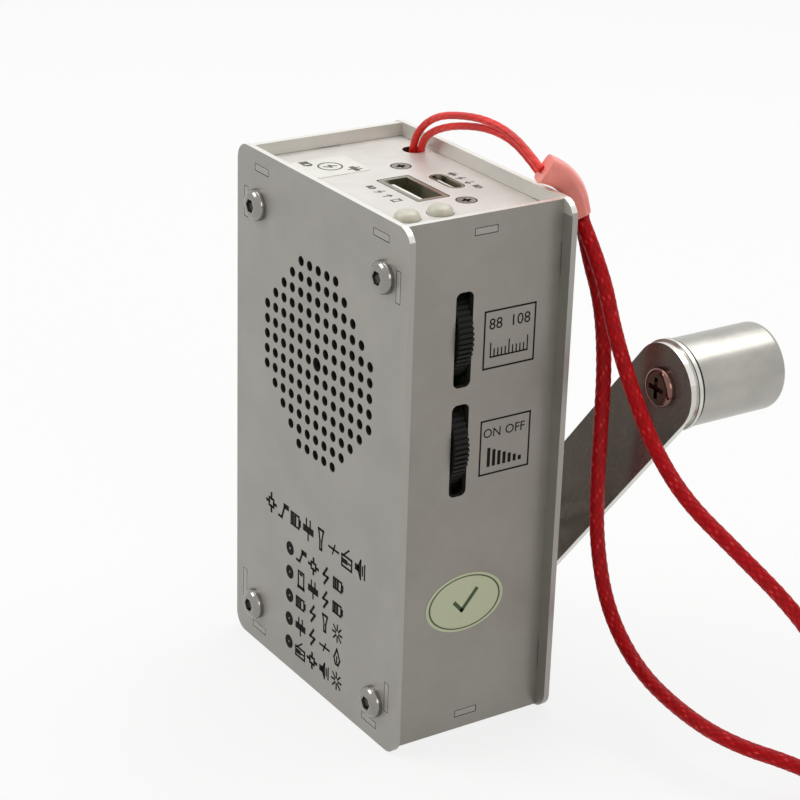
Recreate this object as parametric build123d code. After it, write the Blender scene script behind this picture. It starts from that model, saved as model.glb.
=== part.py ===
from build123d import *

import os
from math import cos, pi, radians, sin, tan

# Hand crank generator in a laser-cut steel case, with a speaker, a torch and USB sockets.
# Millimetres. X runs along the front plate, Y from the front plate to the crank, Z up.
# The origin is the middle of the case's footprint, on the ground.

# ---- Case ----------------------------------------------------------------------------
PLATE_WIDTH = 62.0           # front and back plates, along X
PLATE_HEIGHT = 106.4         # front and back plates, along Z
PLATE_CORNER = 3.5
SHEET = 1.2                  # all six plates are cut from one sheet
CASE_DEPTH = 36.4            # over the front and back plates
SIDE_INSET = 2.9             # plate edge to the side plate's outer face
LID_RECESS = 2.9             # plate edge to the outer face of the top and bottom plates
SIDE_EDGE_LIFT = 0.2         # side plates stop this far short of the front plate's ends
SLOT_GAP = 0.15              # all round a tab in its slot
LID_TAB_LENGTH = 5.0
LID_TAB_X = 21.5             # tabs of top and bottom plates in the front and back plates
LID_SIDE_TAB_LENGTH = 4.8    # their tabs in the side plates
SIDE_TAB_LENGTH = 6.0
SIDE_TAB_FROM_END = 11.5     # side plates' tabs, from the plate's end to the tab's middle

# ---- Corner bolts --------------------------------------------------------------------
BOLT_X = 23.0
BOLT_FROM_BOTTOM = 8.5
BOLT_FROM_TOP = 10.9
BOLT_R = 1.5
BOLT_HOLE_R = 1.7
BOLT_HEAD_R = 3.2
BOLT_HEAD_HEIGHT = 1.8
BOLT_HEAD_ROUND = 1.4
BOLT_SOCKET_FLATS = 2.5
BOLT_SOCKET_DEPTH = 1.3
NUT_FLATS = 5.5
NUT_HEIGHT = 2.4
NUT_BORE_R = 1.55
BOLT_END = 1.0               # thread that shows past the nut

# ---- Speaker -------------------------------------------------------------------------
SPEAKER_FROM_TOP = 36.1      # plate's top edge to the speaker's axis
GRILLE_PITCH = 3.15
GRILLE_HOLE_R = 1.0
GRILLE_CENTRE_R = 1.4
GRILLE_REACH = 6             # holes each side of the middle one
GRILLE_FULL_ROWS = 2         # rows each side of the middle that keep the full reach
SPEAKER_R = 20.0
SPEAKER_FLANGE = 1.2
SPEAKER_FLANGE_WIDTH = 3.0
BASKET_BACK_R = 10.5
BASKET_DEPTH = 5.2
BASKET_WALL = 0.8
MAGNET_R = 9.5
MAGNET_THICK = 4.0
CONE_WALL = 0.5
CONE_THROAT_R = 5.0
CONE_DEPTH = 2.8

# ---- Thumb wheels and radio board ----------------------------------------------------
WHEEL_R = 10.0
WHEEL_THICK = 3.2
WHEEL_PROUD = 1.2            # how far a wheel stands out of its slot
WHEEL_Y = -4.1
TUNING_FROM_TOP = 24.0       # plate's top edge to the tuning wheel's axis
WHEEL_PITCH = 22.1           # between the two wheels' axes
WHEEL_SLOT_WIDTH = 3.8
WHEEL_SLOT_LENGTH = 18.7
WHEEL_SLOT_CORNER = 1.2
WHEEL_GROOVES = 60
WHEEL_GROOVE_DEPTH = 0.35
WHEEL_DISH_DEPTH = 0.6
WHEEL_RIM = 2.4
SPINDLE_R = 1.5
SPINDLE_DEPTH = 1.8          # into the control behind the wheel
RUNNING_GAP = 0.05           # radial, shafts and spindles in their bores
SIDE_GAP = 0.3               # between a turning face and a fixed one
CONTROL_SIDE = 12.0
CONTROL_THICK = 2.4
BOARD_THICK = 1.6
BOARD_LEFT_X = -18.0
BOARD_EDGE_GAP = 1.4         # radio board to the side plate
BOARD_HEIGHT = 38.0
POST_R = 2.0
POST_SPIGOT_R = 1.2
POST_INSET = 2.7

# ---- Top plate fittings --------------------------------------------------------------
USB_A_X, USB_A_Y = 3.0, 0.45
USB_A_LENGTH, USB_A_WIDTH = 13.2, 5.8
USB_A_WALL = 0.35
USB_A_LIP = 0.6
USB_C_X, USB_C_Y = 2.4, 8.5
USB_C_LENGTH, USB_C_WIDTH = 8.94, 3.26
USB_C_WALL = 0.33
USB_DEPTH = 9.1              # sockets, from the mouth to their board
USB_GAP = 0.2                # round a socket in the top plate
TONGUE_DROP = 0.7            # tongue below the mouth
USB_A_TONGUE_LENGTH, USB_A_TONGUE_THICK = 11.1, 1.8
USB_C_TONGUE_LENGTH, USB_C_TONGUE_THICK = 6.7, 0.7
USB_BOARD_LEFT_X, USB_BOARD_RIGHT_X = -13.5, 17.5
USB_BOARD_FRONT_Y, USB_BOARD_BACK_Y = -3.6, 11.0
LID_SCREWS = ((-9.7, 5.9), (13.6, 5.4))
LID_SCREW_HEAD_R = 1.85
LID_SCREW_HOLE_R = 2.1
LID_SCREW_HEAD_HEIGHT = 1.1
LID_SCREW_R = 1.25
LID_SCREW_LENGTH = 7.0
LID_SPACER_R = 2.6
CROSS_WIDTH = 0.5            # of a cross recess, for a head of 1 mm radius
LED_X = 17.5
LED_YS = (-10.2, -3.0)
LED_R = 2.5
LED_HOLE_GAP = 0.1
LED_PROUD = 1.6
LED_FLANGE_R = 2.9
LED_FLANGE_THICK = 1.0
LED_BELOW = 4.0

# ---- Aerial --------------------------------------------------------------------------
AERIAL_Y = -11.6
AERIAL_DROP = 6.7            # top plate's underside to the rod's axis
AERIAL_R = 2.4
AERIAL_LEFT_X, AERIAL_LENGTH = -20.5, 31.0
COIL_R = 3.4
COIL_FROM_X, COIL_LENGTH = -10.0, 14.0
AERIAL_CLIP_WIDTH, AERIAL_CLIP_DEPTH = 2.4, 6.4

# ---- Battery -------------------------------------------------------------------------
BATTERY_LEFT_X, BATTERY_WIDTH = -12.0, 30.0
BATTERY_HEIGHT = 36.0
BATTERY_THICK = 8.0
BATTERY_ROUND = 1.5

# ---- Gear train ----------------------------------------------------------------------
CRANK_Z = 20.6               # crank axis, on the case's middle plane
MODULE = 0.8
CRANK_TEETH = 36
PINION_TEETH = 10
WHEEL_TEETH = 32
GEAR_BACKLASH = 0.12         # taken off each tooth's width
IDLER_ANGLE = 100.0          # from the crank axis to the idler, from +X towards +Z
ROTOR_ANGLE = -10.0          # from the idler to the generator
GEARBOX_Y = -0.2             # front face of the gearbox plate
GEARBOX_HALF_WIDTH = 20.6
GEARBOX_LOW_Z, GEARBOX_HIGH_Z = 5.6, 49.9
GEARBOX_CORNER = 2.0
PILLARS = ((-17.3, 8.6), (17.3, 8.6), (-18.4, 47.2), (18.4, 47.2))
PILLAR_R = 2.25
PILLAR_SPIGOT_R = 1.5
PILLAR_SCREW_R = 1.25
PILLAR_SCREW_DEPTH = 7.0
PILLAR_SCREW_HEAD_R = 2.3
PILLAR_SCREW_HEAD_HEIGHT = 1.5
SHAFT_R = 3.0
SHAFT_FLAT = 0.6             # depth of the flat that drives the arm
FIT_GAP = 0.02               # radial, between pieces fixed to each other
BUSH_WALL = 1.5
BUSH_FLANGE_R = 6.5
BUSH_FLANGE_THICK = 1.0
BUSH_PROUD = 1.0             # rear bush past the back plate
CRANK_GEAR_FACE = 3.2
CRANK_GEAR_HUB_R = 4.2
IDLER_AXLE_R = 1.5
IDLER_BOSS_R = 3.0
IDLER_WHEEL_FACE = 2.4
IDLER_WHEEL_Y = 6.8          # front face of the idler's wheel

# ---- Generator -----------------------------------------------------------------------
GENERATOR_R = 12.0
GENERATOR_LENGTH = 14.0
GENERATOR_WALL = 1.0
ENDPLATE_THICK = 1.8
STATOR_THICK = 2.6
STATOR_LENGTH = 8.0
AIR_GAP = 0.5
ROTOR_SHAFT_R = 1.5
ROTOR_LENGTH = 7.0

# ---- Crank ---------------------------------------------------------------------------
ARM_GAP = 16.0               # back plate to the arm
ARM_THICK = 1.5
ARM_WIDTH = 17.0
ARM_LENGTH = 63.0            # crank axis to grip axis
ARM_ANGLE = 51.2             # at rest, from +X towards +Z
HUB_R = 7.0
HUB_CHAMFER = 0.6
SET_SCREW_R = 1.45
CRANK_SCREW_R = 1.6
CRANK_SCREW_DEPTH = 8.0
CRANK_SCREW_HEAD_R = 4.4
CRANK_SCREW_HEAD_HEIGHT = 2.4
GRIP_R = 8.6
GRIP_LENGTH = 20.5
GRIP_ROUND = 1.3
GRIP_WASHER_R = 8.9
GRIP_WASHER_THICK = 1.2
SPINDLE_PIN_R = 4.0
SPINDLE_HEAD_R = 6.2
SPINDLE_HEAD_THICK = 1.2
GRIP_CAP_R = 7.0
GRIP_CAP_THICK = 1.2
GRIP_SCREW_R = 2.0
GRIP_SCREW_DEPTH = 10.0
GRIP_SCREW_HEAD_R = 3.9
GRIP_SCREW_HEAD_HEIGHT = 1.7
HEAD_ROUND = 1.1

# ---- Left side: torch and igniter ----------------------------------------------------
SIDE_BOARD_GAP = 4.4         # left plate to its board
SIDE_BOARD_THICK = 1.2
SIDE_BOARD_HALF_WIDTH = 6.5
SIDE_BOARD_ABOVE = 9.0       # past the torch's axis
SIDE_BOARD_BELOW = 9.0       # past the button's axis
TORCH_FROM_TOP = 24.4        # plate's top edge to the torch's axis
TORCH_R = 5.6
TORCH_BEZEL_R = 7.0
TORCH_BEZEL_THICK = 0.8
TORCH_LENS_R = 4.9
TORCH_LENS_THICK = 1.0
TORCH_THROAT_R = 1.7
TORCH_HOLE_GAP = 0.15
SWITCH_BELOW_TORCH = 16.0
SWITCH_TRAVEL = 3.5
SWITCH_STEM_WIDTH, SWITCH_STEM_LENGTH = 2.2, 3.0
SWITCH_GAP = 0.2
SWITCH_PROUD = 1.2
SWITCH_CORNER = 0.7
SWITCH_FOOT_WIDTH, SWITCH_FOOT_LENGTH, SWITCH_FOOT_THICK = 3.6, 5.4, 1.2
IGNITER_BELOW_SWITCH = 16.0
IGNITER_LENGTH, IGNITER_WIDTH = 12.0, 7.0
IGNITER_GAP = 0.15
IGNITER_WALL = 1.0
IGNITER_FLOOR = 1.2
ELECTRODE_R = 0.5
ELECTRODE_GAP = 3.6
ELECTRODE_LENGTH = 2.4
BUTTON_BELOW_IGNITER = 14.0
BUTTON_R = 2.9
BUTTON_GAP = 0.2
BUTTON_PROUD = 1.2
BUTTON_TRAVEL = 0.9
BUTTON_COLLAR_R = 3.7
BUTTON_COLLAR_THICK = 1.1

# ---- Lanyard -------------------------------------------------------------------------
LANYARD_HOLE_X, LANYARD_HOLE_Y = -17.6, 14.0
LANYARD_HOLE_R = 2.3
THREAD_R = 0.75
STRAP_R = 1.5
KNOT_R = 2.7
KNOT_LENGTH = 4.6
THREAD_UPPER_ROUTE = (
    (-17.9, 13.6, 99.6), (-17.7, 13.7, 104.6), (-15.4, 14.2, 108.9), (-10.4, 14.7, 112.2),
    (-3.6, 15.2, 114.0), (3.6, 15.7, 115.0), (10.2, 16.3, 114.5), (15.8, 16.9, 112.3),
    (20.6, 17.1, 109.6),
)
THREAD_LOWER_ROUTE = (
    (-16.6, 14.6, 99.6), (-16.4, 14.7, 104.2), (-14.1, 14.9, 107.6), (-8.8, 15.3, 110.3),
    (-2.6, 15.9, 112.1), (3.8, 16.6, 113.1), (9.8, 17.3, 112.7), (15.0, 17.8, 110.6),
    (19.8, 17.9, 107.9),
)
STRAP_ROUTE = (
    (22.6, 25.1, 101.4), (24.9, 25.7, 93.4), (27.7, 27.5, 84.0), (29.0, 28.2, 72.5),
    (28.6, 28.7, 59.5), (28.0, 29.2, 46.5), (28.5, 29.6, 33.5), (33.0, 29.8, 20.5),
    (43.6, 29.8, 11.6), (57.0, 29.8, 7.6), (70.5, 31.2, 5.6), (82.5, 37.0, 3.2),
    (92.5, 45.5, 1.7), (99.5, 55.5, 1.65), (102.6, 66.0, 1.6), (101.6, 75.4, 1.55),
    (95.6, 82.6, 1.55), (86.8, 83.4, 1.6), (80.0, 77.4, 2.6), (77.6, 67.6, 6.6),
    (77.9, 57.0, 14.0), (78.3, 47.3, 25.0), (76.0, 39.0, 37.6), (66.6, 31.4, 47.9),
    (56.3, 27.6, 54.4), (47.0, 26.8, 61.6), (39.8, 26.5, 70.6), (34.6, 25.4, 81.2),
    (30.9, 24.8, 91.6), (26.0, 23.0, 100.4),
)
BEAD_SECTIONS = (            # middle, size across the view, size along the view
    ((21.0, 17.3, 109.9), 5.4, 4.2),
    ((22.4, 21.6, 107.3), 4.6, 4.4),
    ((24.3, 24.1, 101.4), 3.6, 7.0),
)
BEAD_VIEW = (0.836, -0.549, 0.0)     # the level line along which the bead grows wider
BEAD_CORNER = 1.2

# ---- Places that follow from the sizes above -----------------------------------------
FRONT_Y = -CASE_DEPTH / 2
BACK_Y = CASE_DEPTH / 2
INNER_FRONT_Y = FRONT_Y + SHEET
INNER_BACK_Y = BACK_Y - SHEET
SIDE_X = PLATE_WIDTH / 2 - SIDE_INSET
SIDE_INNER_X = SIDE_X - SHEET
TOP_Z = PLATE_HEIGHT - LID_RECESS
TOP_UNDER_Z = TOP_Z - SHEET
BOTTOM_UNDER_Z = LID_RECESS
SIDE_TAB_ZS = (SIDE_TAB_FROM_END, PLATE_HEIGHT - SIDE_TAB_FROM_END)
LID_ZS = (BOTTOM_UNDER_Z + SHEET / 2, TOP_Z - SHEET / 2)
BOLT_ZS = (BOLT_FROM_BOTTOM, PLATE_HEIGHT - BOLT_FROM_TOP)
BOLTS = [(x, z) for x in (-BOLT_X, BOLT_X) for z in BOLT_ZS]
SPEAKER_Z = PLATE_HEIGHT - SPEAKER_FROM_TOP
TUNING_Z = PLATE_HEIGHT - TUNING_FROM_TOP
VOLUME_Z = TUNING_Z - WHEEL_PITCH
WHEEL_X = SIDE_X + WHEEL_PROUD - WHEEL_R
CONTROL_Y = WHEEL_Y + WHEEL_THICK / 2 + SIDE_GAP
BOARD_Y = CONTROL_Y + CONTROL_THICK
BOARD_RIGHT_X = SIDE_INNER_X - BOARD_EDGE_GAP
BOARD_MIDDLE_Z = (TUNING_Z + VOLUME_Z) / 2
BOARD_LOW_Z = BOARD_MIDDLE_Z - BOARD_HEIGHT / 2
BOARD_HIGH_Z = BOARD_MIDDLE_Z + BOARD_HEIGHT / 2
POSTS = (
    (BOARD_LEFT_X + POST_INSET, BOARD_LOW_Z + POST_INSET),
    (BOARD_LEFT_X + POST_INSET, BOARD_HIGH_Z - POST_INSET),
    (BOARD_RIGHT_X - POST_INSET, BOARD_MIDDLE_Z),
)
BATTERY_LOW_Z = BOARD_MIDDLE_Z - BATTERY_HEIGHT / 2
USB_BOARD_Z = TOP_Z - USB_DEPTH
AERIAL_Z = TOP_UNDER_Z - AERIAL_DROP
CRANK = (0.0, CRANK_Z)
TRAIN_REACH = MODULE * (CRANK_TEETH + PINION_TEETH) / 2
ROTOR_REACH = MODULE * (WHEEL_TEETH + PINION_TEETH) / 2
IDLER = (CRANK[0] + TRAIN_REACH * cos(radians(IDLER_ANGLE)),
         CRANK[1] + TRAIN_REACH * sin(radians(IDLER_ANGLE)))
ROTOR = (IDLER[0] + ROTOR_REACH * cos(radians(ROTOR_ANGLE)),
         IDLER[1] + ROTOR_REACH * sin(radians(ROTOR_ANGLE)))
GEARBOX_BACK_Y = GEARBOX_Y + SHEET
BUSH_R = SHAFT_R + BUSH_WALL
REAR_FLANGE_Y = INNER_BACK_Y - BUSH_FLANGE_THICK
CRANK_GEAR_BACK_Y = REAR_FLANGE_Y - SIDE_GAP
ARM_Y = BACK_Y + ARM_GAP
ARM_BACK_Y = ARM_Y + ARM_THICK
GRIP = (CRANK[0] + ARM_LENGTH * cos(radians(ARM_ANGLE)),
        CRANK[1] + ARM_LENGTH * sin(radians(ARM_ANGLE)))
GRIP_Y = ARM_BACK_Y + GRIP_WASHER_THICK + SIDE_GAP
GRIP_END_Y = GRIP_Y + GRIP_LENGTH
SIDE_BOARD_X = -SIDE_INNER_X + SIDE_BOARD_GAP
TORCH_Z = PLATE_HEIGHT - TORCH_FROM_TOP
SWITCH_Z = TORCH_Z - SWITCH_BELOW_TORCH
IGNITER_Z = SWITCH_Z - IGNITER_BELOW_SWITCH
BUTTON_Z = IGNITER_Z - BUTTON_BELOW_IGNITER
SIDE_BOARD_LOW_Z, SIDE_BOARD_HIGH_Z = BUTTON_Z - SIDE_BOARD_BELOW, TORCH_Z + SIDE_BOARD_ABOVE
PLATE_MIDDLE = (0.0, PLATE_HEIGHT / 2)


# ---- Helpers -------------------------------------------------------------------------
def block(x, y, z):
    """Box between pairs of limits."""
    size = [high - low for low, high in (x, y, z)]
    middle = [(low + high) / 2 for low, high in (x, y, z)]
    return Pos(*middle) * Box(*size)


def along_y(sketch, y):
    """Prism of a sketch drawn in X and Z, between two depths."""
    plane = Plane(origin=(0, y[1], 0), x_dir=(1, 0, 0), z_dir=(0, -1, 0))
    return extrude(plane * sketch, y[1] - y[0])


def along_x(sketch, x):
    """Prism of a sketch drawn in Y and Z, between two widths."""
    plane = Plane(origin=(x[0], 0, 0), x_dir=(0, 1, 0), z_dir=(1, 0, 0))
    return extrude(plane * sketch, x[1] - x[0])


def along_z(sketch, z):
    """Prism of a sketch drawn in X and Y, between two heights."""
    return extrude(Plane(origin=(0, 0, z[0])) * sketch, z[1] - z[0])


def disc(place, radius):
    """Circle at a place in a sketch."""
    return Pos(*place) * Circle(radius)


def slab(place, width, height, corner=0.0):
    """Rectangle at a place in a sketch, with rounded corners where a radius is given."""
    shape = RectangleRounded(width, height, corner) if corner else Rectangle(width, height)
    return Pos(*place) * shape


def ring(place, outer, inner):
    """Flat ring at a place in a sketch."""
    return disc(place, outer) - disc(place, inner)


def cross(place, head_radius):
    """Cross recess for a screw head of a given radius."""
    length = 1.1 * head_radius
    width = CROSS_WIDTH * head_radius ** 0.5
    return slab(place, length, width) + slab(place, width, length)


def round_head(place, radius, height, y, outwards, rounding, recess):
    """Domed screw head on a plane, standing out along -Y (-1) or +Y (+1), with its recess."""
    far = y + outwards * height
    head = along_y(disc(place, radius), sorted((y, far)))
    head = fillet(head.edges().filter_by(GeomType.CIRCLE).sort_by(Axis.Y)[0 if outwards < 0 else -1], rounding)
    floor = far - outwards * min(BOLT_SOCKET_DEPTH, 0.6 * height)
    return head - along_y(recess, sorted((floor, far)))


def turned(profile, place, y):
    """Solid of revolution about a Y axis. The profile gives (radius, depth past y) points."""
    face = make_face(Polyline(*[(radius, depth, 0) for radius, depth in profile], close=True))
    return Pos(place[0], y, place[1]) * revolve(face, Axis.Y)


def gear_outline(teeth, turn):
    """Gear of straight-flanked teeth, with one tooth centred at an angle in degrees."""
    pitch_r = MODULE * teeth / 2
    root_r = pitch_r - 1.25 * MODULE
    tip_r = pitch_r + 0.92 * MODULE
    half_pitch = (pi * MODULE / 4 - GEAR_BACKLASH / 2) / pitch_r
    # Half widths of a tooth, as angles, at the root, the pitch circle and the tip.
    slope = tan(radians(20.0))
    half_root = half_pitch + (pitch_r - root_r) * slope * 0.62 / pitch_r
    half_tip = half_pitch - (tip_r - pitch_r) * slope * 1.25 / pitch_r
    points = []
    for tooth in range(teeth):
        middle = radians(turn) + 2 * pi * tooth / teeth
        for half, radius in ((-half_root, root_r), (-half_pitch, pitch_r), (-half_tip, tip_r),
                             (half_tip, tip_r), (half_pitch, pitch_r), (half_root, root_r)):
            points.append((radius * cos(middle + half), radius * sin(middle + half)))
    return make_face(Polyline(*points, close=True))


def gear(place, teeth, turn, y):
    """Gear between two depths."""
    return along_y(Pos(*place) * gear_outline(teeth, turn), y)


def cord_tube(route, radius, name):
    """Round cord along straight runs joined by tangent arcs, each as large as its runs allow."""
    points = [Vector(*point) for point in route]
    runs = [after - before for before, after in zip(points, points[1:])]
    radii = [0.45 * min(before.length, after.length) / tan(radians(before.get_angle(after)) / 2)
             for before, after in zip(runs, runs[1:])]
    path = FilletPolyline(*points, radius=radii)
    start = Plane(origin=points[0], z_dir=runs[0])
    tube = sweep(start * Circle(radius), path=path)
    print(f"{name}: length {path.length:.1f}, smallest radius {min(radii):.1f},",
          f"longest run {max(run.length for run in runs):.1f},",
          f"volume ratio {tube.volume / (pi * radius ** 2 * path.length):.4f}")
    return tube


# ---- Case plates ---------------------------------------------------------------------
def grille():
    """Speaker holes: a square grid cut to an octagon, with a wider hole in the middle."""
    holes = []
    for row in range(-GRILLE_REACH, GRILLE_REACH + 1):
        reach = GRILLE_REACH - max(0, abs(row) - GRILLE_FULL_ROWS)
        for column in range(-reach, reach + 1):
            radius = GRILLE_HOLE_R if row or column else GRILLE_CENTRE_R
            holes.append(disc((column * GRILLE_PITCH, SPEAKER_Z + row * GRILLE_PITCH), radius))
    return holes


def end_plate_outline():
    """Front or back plate, with the slots for the other plates' tabs and the bolt holes."""
    outline = slab(PLATE_MIDDLE, PLATE_WIDTH, PLATE_HEIGHT, PLATE_CORNER)
    thick = SHEET + 2 * SLOT_GAP
    cuts = [slab((side * LID_TAB_X, z), LID_TAB_LENGTH + 2 * SLOT_GAP, thick)
            for side in (-1, 1) for z in LID_ZS]
    cuts += [slab((side * (SIDE_X - SHEET / 2), z), thick, SIDE_TAB_LENGTH + 2 * SLOT_GAP)
             for side in (-1, 1) for z in SIDE_TAB_ZS]
    cuts += [disc(bolt, BOLT_HOLE_R) for bolt in BOLTS]
    return outline - cuts


def front_plate():
    return along_y(end_plate_outline() - grille(), (FRONT_Y, INNER_FRONT_Y))


def back_plate():
    outline = end_plate_outline() - disc(CRANK, BUSH_R + FIT_GAP) - disc(IDLER, IDLER_AXLE_R + FIT_GAP)
    outline -= [disc(pillar, PILLAR_SCREW_R + RUNNING_GAP) for pillar in PILLARS]
    outline -= [disc(post, POST_SPIGOT_R + FIT_GAP) for post in POSTS]
    return along_y(outline, (INNER_BACK_Y, BACK_Y))


def side_plate_outline():
    """Side plate in Y and Z, with its tabs and the slots for the top and bottom plates."""
    outline = slab(PLATE_MIDDLE, 2 * INNER_BACK_Y, PLATE_HEIGHT - 2 * SIDE_EDGE_LIFT)
    for z in SIDE_TAB_ZS:
        outline += slab((0, z), CASE_DEPTH, SIDE_TAB_LENGTH)
    return outline - [slab((0, z), LID_SIDE_TAB_LENGTH + 2 * SLOT_GAP, SHEET + 2 * SLOT_GAP)
                      for z in LID_ZS]


def right_plate():
    slots = [slab((WHEEL_Y, z), WHEEL_SLOT_WIDTH, WHEEL_SLOT_LENGTH, WHEEL_SLOT_CORNER)
             for z in (TUNING_Z, VOLUME_Z)]
    return along_x(side_plate_outline() - slots, (SIDE_INNER_X, SIDE_X))


def left_plate():
    cuts = [
        disc((0, TORCH_Z), TORCH_R + TORCH_HOLE_GAP),
        slab((0, SWITCH_Z), SWITCH_STEM_WIDTH + 2 * SWITCH_GAP,
             SWITCH_STEM_LENGTH + SWITCH_TRAVEL + 2 * SWITCH_GAP, SWITCH_CORNER),
        slab((0, IGNITER_Z), IGNITER_WIDTH + 2 * IGNITER_GAP, IGNITER_LENGTH + 2 * IGNITER_GAP,
             WHEEL_SLOT_CORNER),
        disc((0, BUTTON_Z), BUTTON_R + BUTTON_GAP),
    ]
    return along_x(side_plate_outline() - cuts, (-SIDE_X, -SIDE_INNER_X))


def lid_outline():
    """Top or bottom plate, with its tabs."""
    outline = slab((0, 0), 2 * SIDE_INNER_X, 2 * INNER_BACK_Y)
    outline += slab((0, 0), 2 * SIDE_X, LID_SIDE_TAB_LENGTH)
    for side in (-1, 1):
        outline += slab((side * LID_TAB_X, 0), LID_TAB_LENGTH, CASE_DEPTH)
    return outline


def top_plate():
    lip = 2 * (USB_A_LIP + USB_GAP)
    usb_c_width = USB_C_WIDTH + 2 * USB_GAP
    cuts = [
        slab((USB_A_X, USB_A_Y), USB_A_LENGTH + lip, USB_A_WIDTH + lip, USB_A_LIP),
        slab((USB_C_X, USB_C_Y), USB_C_LENGTH + 2 * USB_GAP, usb_c_width, 0.49 * usb_c_width),
        disc((LANYARD_HOLE_X, LANYARD_HOLE_Y), LANYARD_HOLE_R),
    ]
    cuts += [disc(place, LID_SCREW_HOLE_R) for place in LID_SCREWS]
    cuts += [disc((LED_X, y), LED_R + LED_HOLE_GAP) for y in LED_YS]
    return along_z(lid_outline() - cuts, (TOP_UNDER_Z, TOP_Z))


def bottom_plate():
    return along_z(lid_outline(), (BOTTOM_UNDER_Z, BOTTOM_UNDER_Z + SHEET))


def corner_bolts():
    socket = RegularPolygon(BOLT_SOCKET_FLATS / 2, 6, major_radius=False)
    end_y = BACK_Y + NUT_HEIGHT + BOLT_END
    bolts = []
    for bolt in BOLTS:
        head = round_head(bolt, BOLT_HEAD_R, BOLT_HEAD_HEIGHT, FRONT_Y, -1, BOLT_HEAD_ROUND,
                          Pos(*bolt) * socket)
        bolts.append(head + along_y(disc(bolt, BOLT_R), (FRONT_Y, end_y)))
    return bolts


def corner_nuts():
    hexagon = RegularPolygon(NUT_FLATS / 2, 6, major_radius=False)
    return [along_y(Pos(*bolt) * hexagon - disc(bolt, NUT_BORE_R), (BACK_Y, BACK_Y + NUT_HEIGHT))
            for bolt in BOLTS]


# ---- Speaker -------------------------------------------------------------------------
def speaker_frame():
    """Pressed basket: a flange behind the grille and a cone down to the magnet."""
    seat_r = SPEAKER_R - SPEAKER_FLANGE_WIDTH
    profile = (
        (SPEAKER_R, 0), (SPEAKER_R, SPEAKER_FLANGE), (seat_r + BASKET_WALL, SPEAKER_FLANGE),
        (BASKET_BACK_R, BASKET_DEPTH), (0, BASKET_DEPTH), (0, BASKET_DEPTH - BASKET_WALL),
        (BASKET_BACK_R - BASKET_WALL, BASKET_DEPTH - BASKET_WALL), (seat_r, SPEAKER_FLANGE), (seat_r, 0),
    )
    return turned(profile, (0, SPEAKER_Z), INNER_FRONT_Y)


def speaker_magnet():
    start = INNER_FRONT_Y + BASKET_DEPTH
    return along_y(disc((0, SPEAKER_Z), MAGNET_R), (start, start + MAGNET_THICK))


def speaker_cone():
    """Paper cone with its dust cap, glued inside the flange."""
    seat_r = SPEAKER_R - SPEAKER_FLANGE_WIDTH
    throat = CONE_DEPTH
    profile = (
        (seat_r, 0), (seat_r, CONE_WALL), (CONE_THROAT_R, throat + CONE_WALL), (0, throat + CONE_WALL),
        (0, throat - 1.2), (0.5 * CONE_THROAT_R, throat - 0.9), (CONE_THROAT_R, throat),
        (seat_r - CONE_WALL, 0),
    )
    return turned(profile, (0, SPEAKER_Z), INNER_FRONT_Y)


# ---- Radio board and thumb wheels ----------------------------------------------------
def thumb_wheel(z):
    """Grooved wheel with a dished face and the spindle that turns its control."""
    place = (WHEEL_X, z)
    front = WHEEL_Y - WHEEL_THICK / 2
    back = WHEEL_Y + WHEEL_THICK / 2
    points = []
    for groove in range(WHEEL_GROOVES):
        for share, radius in ((0.0, WHEEL_R), (0.5, WHEEL_R), (0.62, WHEEL_R - WHEEL_GROOVE_DEPTH),
                              (0.88, WHEEL_R - WHEEL_GROOVE_DEPTH)):
            angle = 2 * pi * (groove + share) / WHEEL_GROOVES
            points.append((radius * cos(angle), radius * sin(angle)))
    rim = Pos(*place) * make_face(Polyline(*points, close=True))
    wheel = along_y(rim, (front, back))
    wheel -= along_y(disc(place, WHEEL_R - WHEEL_RIM), (front, front + WHEEL_DISH_DEPTH))
    return wheel + along_y(disc(place, SPINDLE_R), (back, CONTROL_Y + SPINDLE_DEPTH))


def control(z):
    """Control behind a thumb wheel, with the bore for its spindle."""
    body = along_y(slab((WHEEL_X, z), CONTROL_SIDE, CONTROL_SIDE, 1.0),
                   (CONTROL_Y, CONTROL_Y + CONTROL_THICK))
    bore = disc((WHEEL_X, z), SPINDLE_R + RUNNING_GAP)
    return body - along_y(bore, (CONTROL_Y, CONTROL_Y + SPINDLE_DEPTH + RUNNING_GAP))


def radio_board():
    width = BOARD_RIGHT_X - BOARD_LEFT_X
    middle = ((BOARD_LEFT_X + BOARD_RIGHT_X) / 2, (BOARD_LOW_Z + BOARD_HIGH_Z) / 2)
    outline = slab(middle, width, BOARD_HEIGHT, 1.0)
    outline -= [disc(post, POST_SPIGOT_R + FIT_GAP) for post in POSTS]
    return along_y(outline, (BOARD_Y, BOARD_Y + BOARD_THICK))


def board_posts():
    """Posts riveted through the radio board and the back plate."""
    return [along_y(disc(post, POST_R), (BOARD_Y + BOARD_THICK, INNER_BACK_Y))
            + along_y(disc(post, POST_SPIGOT_R), (BOARD_Y, BACK_Y)) for post in POSTS]


# ---- Top plate fittings --------------------------------------------------------------
def usb_a_shell():
    place = (USB_A_X, USB_A_Y)
    mouth = slab(place, USB_A_LENGTH - 2 * USB_A_WALL, USB_A_WIDTH - 2 * USB_A_WALL)
    shell = along_z(slab(place, USB_A_LENGTH, USB_A_WIDTH, USB_A_WALL), (USB_BOARD_Z, TOP_Z))
    lip = slab(place, USB_A_LENGTH + 2 * USB_A_LIP, USB_A_WIDTH + 2 * USB_A_LIP, USB_A_LIP)
    shell += along_z(lip, (TOP_Z - USB_A_WALL, TOP_Z))
    return shell - along_z(mouth, (USB_BOARD_Z + USB_A_WALL, TOP_Z))


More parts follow.
